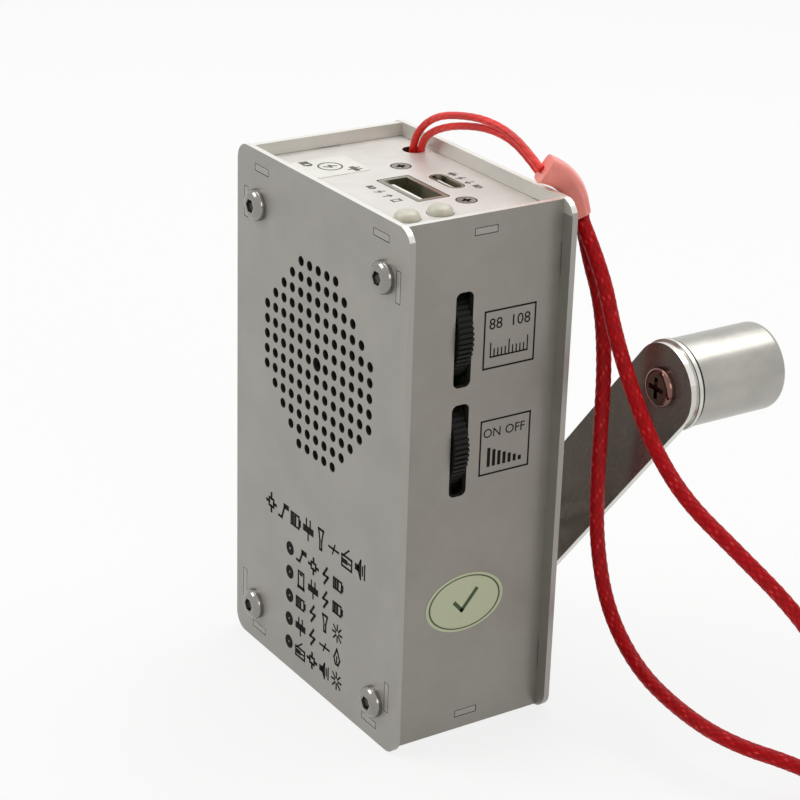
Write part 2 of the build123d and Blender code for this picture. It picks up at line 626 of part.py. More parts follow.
def usb_c_shell():
    place = (USB_C_X, USB_C_Y)
    inner_width = USB_C_WIDTH - 2 * USB_C_WALL
    shell = along_z(slab(place, USB_C_LENGTH, USB_C_WIDTH, 0.49 * USB_C_WIDTH), (USB_BOARD_Z, TOP_Z))
    mouth = slab(place, USB_C_LENGTH - 2 * USB_C_WALL, inner_width, 0.49 * inner_width)
    return shell - along_z(mouth, (USB_BOARD_Z + USB_C_WALL, TOP_Z))


def usb_tongues():
    """Contact tongues inside the two sockets."""
    inner_front = USB_A_Y - USB_A_WIDTH / 2 + USB_A_WALL
    tongue_y = inner_front + RUNNING_GAP + USB_A_TONGUE_THICK / 2
    return [
        along_z(slab((USB_A_X, tongue_y), USB_A_TONGUE_LENGTH, USB_A_TONGUE_THICK),
                (USB_BOARD_Z + USB_A_WALL, TOP_Z - TONGUE_DROP)),
        along_z(slab((USB_C_X, USB_C_Y), USB_C_TONGUE_LENGTH, USB_C_TONGUE_THICK),
                (USB_BOARD_Z + USB_C_WALL, TOP_Z - TONGUE_DROP)),
    ]


def usb_board():
    return block((USB_BOARD_LEFT_X, USB_BOARD_RIGHT_X), (USB_BOARD_FRONT_Y, USB_BOARD_BACK_Y),
                 (USB_BOARD_Z - BOARD_THICK, USB_BOARD_Z))


def lid_screws():
    """Flush screws that hang the USB board from the top plate."""
    screws = []
    for place in LID_SCREWS:
        head_low = TOP_Z - LID_SCREW_HEAD_HEIGHT
        screw = along_z(disc(place, LID_SCREW_HEAD_R), (head_low, TOP_Z))
        screw -= along_z(cross(place, LID_SCREW_HEAD_R), (TOP_Z - 0.5 * LID_SCREW_HEAD_HEIGHT, TOP_Z))
        screws.append(screw + along_z(disc(place, LID_SCREW_R), (TOP_Z - LID_SCREW_LENGTH, head_low)))
    return screws


def lid_spacers():
    return [along_z(disc(place, LID_SPACER_R), (USB_BOARD_Z, TOP_UNDER_Z))
            - along_z(disc(place, LID_SCREW_R + FIT_GAP), (TOP_Z - LID_SCREW_LENGTH - 1.0, TOP_UNDER_Z))
            for place in LID_SCREWS]


def indicator_leds():
    """Two round lamps pushed up through the top plate."""
    lamps = []
    for y in LED_YS:
        place = (LED_X, y)
        lamp = along_z(disc(place, LED_R), (TOP_UNDER_Z - LED_BELOW, TOP_Z + LED_PROUD))
        lamp = fillet(lamp.edges().sort_by(Axis.Z)[-1], 0.6 * LED_R)
        flange = along_z(disc(place, LED_FLANGE_R), (TOP_UNDER_Z - LED_FLANGE_THICK, TOP_UNDER_Z))
        lamps.append(lamp + flange)
    return lamps


def ferrite_rod():
    return along_x(disc((AERIAL_Y, AERIAL_Z), AERIAL_R), (AERIAL_LEFT_X, AERIAL_LEFT_X + AERIAL_LENGTH))


def aerial_coil():
    return along_x(ring((AERIAL_Y, AERIAL_Z), COIL_R, AERIAL_R), (COIL_FROM_X, COIL_FROM_X + COIL_LENGTH))


def aerial_clips():
    """Two blocks under the top plate that hold the ferrite rod."""
    low, high = AERIAL_Z - AERIAL_R / 2, TOP_UNDER_Z
    section = slab((AERIAL_Y, (low + high) / 2), AERIAL_CLIP_DEPTH, high - low)
    section -= disc((AERIAL_Y, AERIAL_Z), AERIAL_R)
    right = AERIAL_LEFT_X + AERIAL_LENGTH
    return [along_x(section, (start, start + AERIAL_CLIP_WIDTH))
            for start in (AERIAL_LEFT_X + 1.0, right - 1.0 - AERIAL_CLIP_WIDTH)]


def battery_pack():
    pack = block((BATTERY_LEFT_X, BATTERY_LEFT_X + BATTERY_WIDTH), (INNER_BACK_Y - BATTERY_THICK, INNER_BACK_Y),
                 (BATTERY_LOW_Z, BATTERY_LOW_Z + BATTERY_HEIGHT))
    return fillet(pack.edges().filter_by(Axis.Z), BATTERY_ROUND)


# ---- Gear train ----------------------------------------------------------------------
def gearbox_plate():
    middle_z = (GEARBOX_LOW_Z + GEARBOX_HIGH_Z) / 2
    outline = slab((0, middle_z), 2 * GEARBOX_HALF_WIDTH, GEARBOX_HIGH_Z - GEARBOX_LOW_Z, GEARBOX_CORNER)
    outline -= [disc(CRANK, BUSH_R + FIT_GAP), disc(IDLER, IDLER_AXLE_R + FIT_GAP),
                disc(ROTOR, ROTOR_SHAFT_R + 1.0)]
    outline -= [disc(pillar, PILLAR_SPIGOT_R + FIT_GAP) for pillar in PILLARS]
    return along_y(outline, (GEARBOX_Y, GEARBOX_BACK_Y))


def gearbox_pillars():
    """Pillars riveted in the gearbox plate and tapped for the screws in the back plate."""
    pillars = []
    for pillar in PILLARS:
        body = along_y(disc(pillar, PILLAR_R), (GEARBOX_BACK_Y, INNER_BACK_Y))
        body += along_y(disc(pillar, PILLAR_SPIGOT_R), (GEARBOX_Y, GEARBOX_BACK_Y))
        bore = disc(pillar, PILLAR_SCREW_R + FIT_GAP)
        pillars.append(body - along_y(bore, (INNER_BACK_Y - PILLAR_SCREW_DEPTH - 1.0, INNER_BACK_Y)))
    return pillars


def gearbox_screws():
    return [round_head(pillar, PILLAR_SCREW_HEAD_R, PILLAR_SCREW_HEAD_HEIGHT, BACK_Y, 1, 0.7,
                       cross(pillar, PILLAR_SCREW_HEAD_R))
            + along_y(disc(pillar, PILLAR_SCREW_R), (INNER_BACK_Y - PILLAR_SCREW_DEPTH, BACK_Y))
            for pillar in PILLARS]


def rear_bush():
    bush = along_y(ring(CRANK, BUSH_R, SHAFT_R + RUNNING_GAP), (REAR_FLANGE_Y, BACK_Y + BUSH_PROUD))
    return bush + along_y(ring(CRANK, BUSH_FLANGE_R, SHAFT_R + RUNNING_GAP), (REAR_FLANGE_Y, INNER_BACK_Y))


def front_bush():
    flange_y = (GEARBOX_BACK_Y, GEARBOX_BACK_Y + BUSH_FLANGE_THICK)
    bush = along_y(ring(CRANK, BUSH_R, SHAFT_R + RUNNING_GAP), (GEARBOX_Y, flange_y[1]))
    return bush + along_y(ring(CRANK, BUSH_FLANGE_R - 1.0, SHAFT_R + RUNNING_GAP), flange_y)


def crank_gear():
    """Large gear with a long hub that keeps it off the front bush."""
    gear_front = CRANK_GEAR_BACK_Y - CRANK_GEAR_FACE
    hub_front = GEARBOX_BACK_Y + BUSH_FLANGE_THICK + SIDE_GAP
    solid = gear(CRANK, CRANK_TEETH, IDLER_ANGLE, (gear_front, CRANK_GEAR_BACK_Y))
    solid += along_y(disc(CRANK, CRANK_GEAR_HUB_R), (hub_front, gear_front))
    return solid - along_y(disc(CRANK, SHAFT_R + FIT_GAP), (hub_front, CRANK_GEAR_BACK_Y))


def idler_axle():
    return along_y(disc(IDLER, IDLER_AXLE_R), (GEARBOX_Y, BACK_Y))


def idler_gear():
    """Pinion driven by the crank gear, moulded with the wheel that drives the generator."""
    wheel_back = IDLER_WHEEL_Y + IDLER_WHEEL_FACE
    pinion_turn = IDLER_ANGLE + 180 + 180 / PINION_TEETH
    low, high = GEARBOX_BACK_Y + SIDE_GAP, INNER_BACK_Y - SIDE_GAP
    solid = gear(IDLER, WHEEL_TEETH, ROTOR_ANGLE, (IDLER_WHEEL_Y, wheel_back))
    solid += gear(IDLER, PINION_TEETH, pinion_turn, (wheel_back, CRANK_GEAR_BACK_Y))
    solid += along_y(disc(IDLER, IDLER_BOSS_R), (low, IDLER_WHEEL_Y))
    solid += along_y(disc(IDLER, IDLER_BOSS_R - 0.4), (CRANK_GEAR_BACK_Y, high))
    return solid - along_y(disc(IDLER, IDLER_AXLE_R + RUNNING_GAP), (low, high))


# ---- Generator -----------------------------------------------------------------------
GENERATOR_FRONT_Y = GEARBOX_Y - GENERATOR_LENGTH
ENDPLATE_Y = GEARBOX_Y - ENDPLATE_THICK
STATOR_INNER_R = GENERATOR_R - GENERATOR_WALL - STATOR_THICK
STATOR_Y = ENDPLATE_Y - 1.5 - STATOR_LENGTH


def generator_can():
    can = along_y(disc(ROTOR, GENERATOR_R), (GENERATOR_FRONT_Y, ENDPLATE_Y))
    can = fillet(can.edges().filter_by(GeomType.CIRCLE).sort_by(Axis.Y)[0], 1.0)
    can -= along_y(disc(ROTOR, GENERATOR_R - GENERATOR_WALL), (GENERATOR_FRONT_Y + GENERATOR_WALL, ENDPLATE_Y))
    return can - along_y(disc(ROTOR, ROTOR_SHAFT_R + RUNNING_GAP),
                         (GENERATOR_FRONT_Y, GENERATOR_FRONT_Y + GENERATOR_WALL))


def generator_endplate():
    return along_y(ring(ROTOR, GENERATOR_R, ROTOR_SHAFT_R + RUNNING_GAP), (ENDPLATE_Y, GEARBOX_Y))


def generator_stator():
    """Wound ring pressed into the can."""
    return along_y(ring(ROTOR, GENERATOR_R - GENERATOR_WALL - FIT_GAP, STATOR_INNER_R),
                   (STATOR_Y, STATOR_Y + STATOR_LENGTH))


def generator_rotor():
    """Magnet rotor, its shaft and the pinion on the shaft's end."""
    magnet_y = STATOR_Y + (STATOR_LENGTH - ROTOR_LENGTH) / 2
    rotor = along_y(disc(ROTOR, STATOR_INNER_R - AIR_GAP), (magnet_y, magnet_y + ROTOR_LENGTH))
    pinion_y = (IDLER_WHEEL_Y - 0.4, IDLER_WHEEL_Y + IDLER_WHEEL_FACE + 0.4)
    rotor += along_y(disc(ROTOR, ROTOR_SHAFT_R), (GENERATOR_FRONT_Y + 0.3, pinion_y[1] + 0.5))
    pinion_turn = ROTOR_ANGLE + 180 + 180 / PINION_TEETH
    return rotor + gear(ROTOR, PINION_TEETH, pinion_turn, pinion_y)


# ---- Crank ---------------------------------------------------------------------------
def shaft_section(gap):
    """Round section with one flat, on the crank axis."""
    flat = slab((CRANK[0], CRANK[1] + SHAFT_R), 4 * SHAFT_R, 2 * (SHAFT_FLAT - gap))
    return disc(CRANK, SHAFT_R + gap) - flat


def crank_shaft():
    hub_y = BACK_Y + BUSH_PROUD + SIDE_GAP
    end_y = ARM_BACK_Y - 2 * FIT_GAP
    shaft = along_y(disc(CRANK, SHAFT_R), (GEARBOX_Y - SIDE_GAP, hub_y))
    shaft += along_y(shaft_section(0.0), (hub_y, end_y))
    return shaft - along_y(disc(CRANK, CRANK_SCREW_R + FIT_GAP), (end_y - CRANK_SCREW_DEPTH - 1.0, end_y))


def hub_screw_y():
    """Middle of the hub, where the set screw is."""
    return (BACK_Y + BUSH_PROUD + SIDE_GAP + ARM_Y) / 2


def set_screw_cut(radius, low_r, high_r):
    """Round bar across the hub, square to the shaft's flat."""
    plane = Plane(origin=(CRANK[0], hub_screw_y(), CRANK[1] + low_r))
    return extrude(plane * Circle(radius), high_r - low_r)


def crank_hub():
    hub = along_y(disc(CRANK, HUB_R), (BACK_Y + BUSH_PROUD + SIDE_GAP, ARM_Y))
    hub = chamfer(hub.edges().filter_by(GeomType.CIRCLE).sort_by(Axis.Y)[0], HUB_CHAMFER)
    hub -= along_y(shaft_section(FIT_GAP), (BACK_Y, ARM_Y))
    return hub - set_screw_cut(SET_SCREW_R + FIT_GAP, 0.0, HUB_R + 1.0)


def hub_set_screw():
    screw = set_screw_cut(SET_SCREW_R, SHAFT_R - SHAFT_FLAT + FIT_GAP, HUB_R - 0.4)
    plane = Plane(origin=(CRANK[0], hub_screw_y(), CRANK[1] + HUB_R - 1.6))
    return screw - extrude(plane * RegularPolygon(0.75, 6, major_radius=False), 1.6)


def crank_arm():
    """Flat bar with round ends, from the hub to the grip."""
    half = ARM_WIDTH / 2
    middle = ((CRANK[0] + GRIP[0]) / 2, (CRANK[1] + GRIP[1]) / 2)
    bar = Pos(*middle) * Rot(0, 0, ARM_ANGLE) * Rectangle(ARM_LENGTH, ARM_WIDTH)
    outline = bar + disc(CRANK, half) + disc(GRIP, half)
    outline -= shaft_section(FIT_GAP)
    outline -= disc(GRIP, GRIP_SCREW_R + RUNNING_GAP)
    return along_y(outline, (ARM_Y, ARM_BACK_Y))


def crank_screw():
    head = round_head(CRANK, CRANK_SCREW_HEAD_R, CRANK_SCREW_HEAD_HEIGHT, ARM_BACK_Y, 1, HEAD_ROUND,
                      cross(CRANK, CRANK_SCREW_HEAD_R))
    return head + along_y(disc(CRANK, CRANK_SCREW_R), (ARM_BACK_Y - CRANK_SCREW_DEPTH, ARM_BACK_Y))


def grip_screw():
    """Cross-head screw through the arm from the case's side, into the spindle."""
    head = round_head(GRIP, GRIP_SCREW_HEAD_R, GRIP_SCREW_HEAD_HEIGHT, ARM_Y, -1, HEAD_ROUND,
                      cross(GRIP, GRIP_SCREW_HEAD_R))
    tip_y = ARM_BACK_Y + GRIP_WASHER_THICK + GRIP_SCREW_DEPTH
    return head + along_y(disc(GRIP, GRIP_SCREW_R), (ARM_Y, tip_y))


def grip_washer():
    return along_y(ring(GRIP, GRIP_WASHER_R, GRIP_SCREW_R + RUNNING_GAP),
                   (ARM_BACK_Y, ARM_BACK_Y + GRIP_WASHER_THICK))


def spindle_head_y():
    """Inner face of the spindle's head, which keeps the grip on."""
    return GRIP_END_Y - GRIP_CAP_THICK - 2 * SIDE_GAP - SPINDLE_HEAD_THICK


def grip_spindle():
    foot = ARM_BACK_Y + GRIP_WASHER_THICK
    head_y = spindle_head_y()
    spindle = along_y(disc(GRIP, SPINDLE_PIN_R), (foot, head_y))
    spindle += along_y(disc(GRIP, SPINDLE_HEAD_R), (head_y, head_y + SPINDLE_HEAD_THICK))
    return spindle - along_y(disc(GRIP, GRIP_SCREW_R + FIT_GAP), (foot, foot + GRIP_SCREW_DEPTH + 1.0))


def handle_grip():
    """Aluminium sleeve that turns on the spindle."""
    grip = along_y(disc(GRIP, GRIP_R), (GRIP_Y, GRIP_END_Y))
    grip = fillet(grip.edges().filter_by(GeomType.CIRCLE).sort_by(Axis.Y)[-1], GRIP_ROUND)
    grip -= along_y(disc(GRIP, SPINDLE_PIN_R + RUNNING_GAP), (GRIP_Y, GRIP_END_Y))
    return grip - along_y(disc(GRIP, GRIP_CAP_R + FIT_GAP), (spindle_head_y() - SIDE_GAP, GRIP_END_Y))


def grip_cap():
    return along_y(disc(GRIP, GRIP_CAP_R), (GRIP_END_Y - GRIP_CAP_THICK, GRIP_END_Y))


# ---- Left side -----------------------------------------------------------------------
def along_side(sketch, x):
    """Prism on the left side. Its two X values count outwards from the plate's outer face."""
    low, high = sorted((-SIDE_X - x[0], -SIDE_X - x[1]))
    return along_x(sketch, (low, high))


SIDE_BOARD_OUT = -SHEET - SIDE_BOARD_GAP     # the board's face, counted outwards


def side_board():
    middle = (0, (SIDE_BOARD_LOW_Z + SIDE_BOARD_HIGH_Z) / 2)
    outline = slab(middle, 2 * SIDE_BOARD_HALF_WIDTH, SIDE_BOARD_HIGH_Z - SIDE_BOARD_LOW_Z, 1.0)
    return along_side(outline, (SIDE_BOARD_OUT, SIDE_BOARD_OUT - SIDE_BOARD_THICK))


def torch_housing():
    """Bezel and reflector cup in one piece, standing on the board."""
    centre = (0, TORCH_Z)
    bezel = along_side(ring(centre, TORCH_BEZEL_R, TORCH_LENS_R), (0, TORCH_BEZEL_THICK))
    cup = along_side(disc(centre, TORCH_R), (SIDE_BOARD_OUT, 0))
    bore = along_side(disc(centre, TORCH_LENS_R), (-TORCH_LENS_THICK, 0))
    depth = SHEET + SIDE_BOARD_GAP - TORCH_LENS_THICK
    start = Plane(origin=(-SIDE_X + TORCH_LENS_THICK, 0, TORCH_Z), z_dir=(1, 0, 0))
    reflector = loft([start * Circle(TORCH_LENS_R - 0.4), start.offset(depth) * Circle(TORCH_THROAT_R)])
    return bezel + cup - bore - reflector


def torch_lens():
    return along_side(disc((0, TORCH_Z), TORCH_LENS_R - RUNNING_GAP), (-TORCH_LENS_THICK, 0.2))


def torch_switch():
    """Slide knob of the torch, at its lower, off, end."""
    place = (0, SWITCH_Z - SWITCH_TRAVEL / 2)
    stem = along_side(slab(place, SWITCH_STEM_WIDTH, SWITCH_STEM_LENGTH, SWITCH_CORNER),
                      (-SHEET - SWITCH_GAP, SWITCH_PROUD))
    foot_top = -SHEET - SWITCH_GAP
    return stem + along_side(slab(place, SWITCH_FOOT_WIDTH, SWITCH_FOOT_LENGTH),
                             (foot_top - SWITCH_FOOT_THICK, foot_top))


def igniter_insert():
    """Ceramic tray, open outwards, that holds the two electrodes."""
    centre = (0, IGNITER_Z)
    tray = along_side(slab(centre, IGNITER_WIDTH, IGNITER_LENGTH, 1.0), (SIDE_BOARD_OUT, 0))
    pocket = slab(centre, IGNITER_WIDTH - 2 * IGNITER_WALL, IGNITER_LENGTH - 2 * IGNITER_WALL, 0.6)
    return tray - along_side(pocket, (SIDE_BOARD_OUT + IGNITER_FLOOR, 0))


def igniter_electrodes():
    floor = SIDE_BOARD_OUT + IGNITER_FLOOR
    return [along_side(disc((0, IGNITER_Z + side * ELECTRODE_GAP / 2), ELECTRODE_R),
                       (floor, floor + ELECTRODE_LENGTH)) for side in (-1, 1)]


def igniter_button():
    """Push button with a collar that keeps it behind the plate."""
    centre = (0, BUTTON_Z)
    collar_top = -SHEET - BUTTON_GAP / 2
    cap = along_side(disc(centre, BUTTON_R), (collar_top, BUTTON_PROUD))
    return cap + along_side(disc(centre, BUTTON_COLLAR_R), (collar_top - BUTTON_COLLAR_THICK, collar_top))


# ---- Lanyard -------------------------------------------------------------------------
def lanyard_knot():
    """Knot under the top plate, wider than the hole it hangs from, with both threads' ends in it."""
    top = THREAD_UPPER_ROUTE[0][2] + 1.4
    knot = along_z(disc((LANYARD_HOLE_X, LANYARD_HOLE_Y), KNOT_R), (top - KNOT_LENGTH, top))
    return fillet(knot.edges().filter_by(GeomType.CIRCLE), 0.4 * KNOT_LENGTH)


def lanyard_bead():
    """Moulded end piece, flat where the threads enter and turned a quarter where the strap leaves."""
    middles = [Vector(*middle) for middle, _, _ in BEAD_SECTIONS]
    headings = (middles[1] - middles[0], middles[2] - middles[0], middles[2] - middles[1])
    sections = []
    for middle, heading, (_, across, deep) in zip(middles, headings, BEAD_SECTIONS):
        plane = Plane(origin=middle, x_dir=Vector(*BEAD_VIEW), z_dir=heading)
        sections.append(plane * RectangleRounded(deep, across, BEAD_CORNER))
    return loft(sections)


# ---- Build ---------------------------------------------------------------------------
def write(name, shape):
    """Write a node's solids as one STEP file."""
    if isinstance(shape, list):
        shape = Compound(children=shape)
    export_step(shape, f"parts/{name}.step")


def main():
    os.makedirs("parts", exist_ok=True)
    thread_upper = cord_tube(THREAD_UPPER_ROUTE, THREAD_R, "thread_upper")
    thread_lower = cord_tube(THREAD_LOWER_ROUTE, THREAD_R, "thread_lower")
    strap = cord_tube(STRAP_ROUTE, STRAP_R, "lanyard_strap")
    knot = lanyard_knot() - thread_upper - thread_lower
    bead = lanyard_bead() - thread_upper - thread_lower - strap
    nodes = {
        "front_plate": front_plate(),
        "back_plate": back_plate(),
        "left_plate": left_plate(),
        "right_plate": right_plate(),
        "top_plate": top_plate(),
        "bottom_plate": bottom_plate(),
        "corner_bolts": corner_bolts(),
        "corner_nuts": corner_nuts(),
        "speaker_frame": speaker_frame(),
        "speaker_magnet": speaker_magnet(),
        "speaker_cone": speaker_cone(),
        "radio_board": radio_board(),
        "board_posts": board_posts() + lid_spacers(),
        "tuning_capacitor": control(TUNING_Z),
        "volume_control": control(VOLUME_Z),
        "tuning_wheel": thumb_wheel(TUNING_Z),
        "volume_wheel": thumb_wheel(VOLUME_Z),
        "usb_board": usb_board(),
        "usb_a_shell": usb_a_shell(),
        "usb_c_shell": usb_c_shell(),
        "usb_tongues": usb_tongues(),
        "lid_screws": lid_screws(),
        "indicator_leds": indicator_leds(),
        "ferrite_rod": ferrite_rod(),
        "aerial_coil": aerial_coil(),
        "aerial_clips": aerial_clips(),
        "battery_pack": battery_pack(),
        "gearbox_plate": gearbox_plate(),
        "gearbox_pillars": gearbox_pillars(),
        "gearbox_screws": gearbox_screws(),
        "shaft_bushes": [front_bush(), rear_bush()],
        "crank_gear": crank_gear(),
        "idler_axle": idler_axle(),
        "idler_gear": idler_gear(),
        "generator_can": generator_can(),
        "generator_endplate": generator_endplate(),
        "generator_stator": generator_stator(),
        "generator_rotor": generator_rotor(),
        "crank_shaft": crank_shaft(),
        "crank_hub": crank_hub(),
        "hub_set_screw": hub_set_screw(),
        "crank_arm": crank_arm(),
        "crank_screw": crank_screw(),
        "grip_screw": grip_screw(),
        "grip_washer": grip_washer(),
        "grip_spindle": grip_spindle(),
        "handle_grip": handle_grip(),
        "grip_cap": grip_cap(),
        "side_board": side_board(),
        "torch_housing": torch_housing(),
        "torch_lens": torch_lens(),
        "torch_switch": torch_switch(),
        "igniter_insert": igniter_insert(),
        "igniter_electrodes": igniter_electrodes(),
        "igniter_button": igniter_button(),
        "lanyard_knot": knot,
        "thread_upper": thread_upper,
        "thread_lower": thread_lower,
        "lanyard_bead": bead,
        "lanyard_strap": strap,
    }
    for name, shape in nodes.items():
        write(name, shape)
    print(len(nodes), "nodes")


main()
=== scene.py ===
"""Hand crank generator: finishes, printed marks, lanyard, light and camera around the CAD frame.

Every object is in metres, in the frame of the CAD model: X along the front plate, Y from the
front plate to the crank, Z up, and the origin on the ground under the middle of the case.
"""

from __future__ import annotations

import logging
import math
from collections.abc import Callable, Iterable, Sequence
from dataclasses import dataclass
from enum import Enum

import bmesh
import bpy
from mathutils import Matrix, Vector

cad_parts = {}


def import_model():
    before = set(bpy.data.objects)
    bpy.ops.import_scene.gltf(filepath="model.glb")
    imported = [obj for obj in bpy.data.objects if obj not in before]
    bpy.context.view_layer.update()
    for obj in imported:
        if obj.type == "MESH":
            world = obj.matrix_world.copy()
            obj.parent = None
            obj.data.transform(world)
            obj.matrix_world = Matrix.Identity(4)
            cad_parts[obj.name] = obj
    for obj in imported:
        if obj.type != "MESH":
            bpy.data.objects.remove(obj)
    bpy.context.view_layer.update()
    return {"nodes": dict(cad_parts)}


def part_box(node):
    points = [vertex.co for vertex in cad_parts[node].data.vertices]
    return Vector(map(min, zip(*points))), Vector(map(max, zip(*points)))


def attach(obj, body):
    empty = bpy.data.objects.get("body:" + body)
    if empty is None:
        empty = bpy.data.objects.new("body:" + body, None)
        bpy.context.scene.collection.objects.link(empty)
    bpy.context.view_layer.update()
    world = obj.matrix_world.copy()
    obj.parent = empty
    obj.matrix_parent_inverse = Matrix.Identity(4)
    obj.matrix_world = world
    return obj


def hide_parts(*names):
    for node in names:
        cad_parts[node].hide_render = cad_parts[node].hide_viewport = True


LOG = logging.getLogger("generator")
MM = 0.001

Colour = tuple[float, float, float]
Point = tuple[float, float, float]
Spot = tuple[float, float]
WHITE: Colour = (1.0, 1.0, 1.0)
NOISE_RANGE: Spot = (0.3, 0.7)  # Where nearly all values of a noise lie.


class Wire:
    """A value on its way between shader nodes. Arithmetic on it adds the Math nodes."""

    def __init__(self, bench: ShaderBench, socket: bpy.types.NodeSocket) -> None:
        """Wraps one output socket.

        Args:
            bench: The shader that the socket belongs to.
            socket: The output socket.
        """
        self.bench = bench
        self.socket = socket

    def _math(self, operation: str, *values: Wire | float) -> Wire:
        """Adds one Math node.

        Args:
            operation: The node's operation.
            values: Its inputs, in order.

        Returns:
            The node's value.
        """
        sockets = dict(enumerate(values))
        return self.bench.node("ShaderNodeMath", {"operation": operation}, sockets)

    def __add__(self, other: Wire | float) -> Wire:
        """Sum."""
        return self._math("ADD", self, other)

    __radd__ = __add__

    def __sub__(self, other: Wire | float) -> Wire:
        """Difference."""
        return self._math("SUBTRACT", self, other)

    def __rsub__(self, other: Wire | float) -> Wire:
        """Difference from a number."""
        return self._math("SUBTRACT", other, self)

    def __mul__(self, other: Wire | float) -> Wire:
        """Product."""
        return self._math("MULTIPLY", self, other)

    __rmul__ = __mul__

    def __truediv__(self, other: Wire | float) -> Wire:
        """Quotient."""
        return self._math("DIVIDE", self, other)

    def __pow__(self, other: float) -> Wire:
        """Power."""
        return self._math("POWER", self, other)

    def __abs__(self) -> Wire:
        """Size without sign."""
        return self._math("ABSOLUTE", self)

    def sine(self) -> Wire:
        """Sine of an angle in radians."""
        return self._math("SINE", self)

    def over(self, limit: float) -> Wire:
        """1 where the value is greater than a limit, and 0 elsewhere."""
        return self._math("GREATER_THAN", self, limit)

    def ease(self, low: float, high: float) -> Wire:
        """Rises smoothly from 0 to 1.

        Args:
            low: The value that gives 0.
            high: The value that gives 1.

        Returns:
            The eased value.
        """
        settings = {"interpolation_type": "SMOOTHSTEP"}
        return self.bench.node("ShaderNodeMapRange", settings, {0: self, 1: low, 2: high})


class ShaderBench:
    """Builds the nodes of one material or world."""

    def __init__(self, name: str, world: bpy.types.World | None = None) -> None:
        """Starts an empty material, or empties a world.

        Args:
            name: The material's name.
            world: The world, where the nodes are its own.
        """
        self.material = world or bpy.data.materials.new(name)
        self.material.use_nodes = True
        self.tree = self.material.node_tree
        self.tree.nodes.clear()

    def node(
        self,
        kind: str,
        settings: dict[str, object] | None = None,
        sockets: dict[str | int, object] | None = None,
        out: str | int = 0,
    ) -> Wire:
        """Adds one node.

        Args:
            kind: The node's type.
            settings: What is set on the node itself, before its sockets.
            sockets: Values or wires for its inputs, by name or place.
            out: The output to return.

        Returns:
            The chosen output.
        """
        made = self.tree.nodes.new(kind)
        for key, value in (settings or {}).items():
            setattr(made, key, value)
        for key, value in (sockets or {}).items():
            if isinstance(value, Wire):
                self.tree.links.new(value.socket, made.inputs[key])
            else:
                made.inputs[key].default_value = value
        return Wire(self, made.outputs[out]) if made.outputs else Wire(self, None)

    def place(self) -> Wire:
        """Object coordinates, in metres."""
        return self.node("ShaderNodeTexCoord", out="Object")

    def facing(self) -> Wire:
        """The surface's normal in the object's own axes."""
        return self.node("ShaderNodeTexCoord", out="Normal")

    def attribute(self, name: str) -> Wire:
        """A colour attribute of the mesh."""
        return self.node("ShaderNodeAttribute", {"attribute_name": name}, out="Color")

    def parts(self, vector: Wire) -> tuple[Wire, Wire, Wire]:
        """The three numbers of a vector or colour.

        Args:
            vector: The vector.

        Returns:
            Its X, Y and Z.
        """
        first = self.node("ShaderNodeSeparateXYZ", sockets={0: vector})
        owner = first.socket.node
        return first, Wire(self, owner.outputs[1]), Wire(self, owner.outputs[2])

    def noise(
        self,
        size: float,
        detail: float = 2.0,
        roughness: float = 0.5,
        stretch: Point = (1.0, 1.0, 1.0),
        turn: Point = (0.0, 0.0, 0.0),
    ) -> Wire:
        """Even noise around 0.5.

        Args:
            size: Size of its features in metres.
            detail: Number of finer layers.
            roughness: Strength of the finer layers.
            stretch: How many times longer the features are along each axis.
            turn: Rotation of the pattern, in radians.

        Returns:
            The noise.
        """
        scale = [1.0 / (size * times) for times in stretch]
        mapped = self.node("ShaderNodeMapping", sockets={0: self.place(), 2: turn, 3: scale})
        sockets = {"Vector": mapped, "Scale": 1.0, "Detail": detail, "Roughness": roughness}
        return self.node("ShaderNodeTexNoise", None, sockets)

    def blend(self, mask: Wire, first: Wire | Colour, second: Wire | Colour) -> Wire:
        """Mixes two colours.

        Args:
            mask: 0 gives the first colour and 1 the second.
            first: A colour.
            second: A colour.

        Returns:
            The mixed colour.
        """
        colours = [value if isinstance(value, Wire) else (*value, 1.0) for value in (first, second)]
        sockets = {0: mask, 6: colours[0], 7: colours[1]}
        return self.node("ShaderNodeMix", {"data_type": "RGBA"}, sockets, out=2)

    def vary(self, tone: Wire, colour: Colour, darkest: float, lightest: float) -> Wire:
        """Spreads a colour over a noise.

        Args:
            tone: The noise.
            colour: The colour.
            darkest: The colour's factor where the noise is low.
            lightest: Its factor where the noise is high.

        Returns:
            The varied colour.
        """
        return self.blend(tone.ease(*NOISE_RANGE), tint(colour, darkest), tint(colour, lightest))

    def relief(self, height: Wire, depth: float, strength: float = 1.0) -> Wire:
        """Turns a height into a surface direction.

        Args:
            height: The height, from 0 to 1.
            depth: What a height of 1 is, in metres.
            strength: Share of the effect.

        Returns:
            The direction.
        """
        return self.node("ShaderNodeBump", None, {"Height": height, "Distance": depth, "Strength": strength})

    def surface(self, **sockets: object) -> bpy.types.Material:
        """Ends the shader in one Principled surface.

        Args:
            sockets: Its inputs, with underscores for spaces.

        Returns:
            The finished material.
        """
        named = {key.replace("_", " "): value for key, value in sockets.items()}
        shaded = self.node("ShaderNodeBsdfPrincipled", None, named)
        self.node("ShaderNodeOutputMaterial", None, {0: shaded})
        return self.material


def tint(colour: Colour, times: float) -> Colour:
    """A colour made lighter or darker.

    Args:
        colour: The colour.
        times: The factor.

    Returns:
        The new colour.
    """
    return tuple(min(1.0, channel * times) for channel in colour)


@dataclass(frozen=True)
class Finish:
    """A finish that covers one or more pieces."""

    name: str
    colour: Colour
    roughness: float = 0.5

    def make(self) -> bpy.types.Material:
        """The material of this finish."""
        raise NotImplementedError


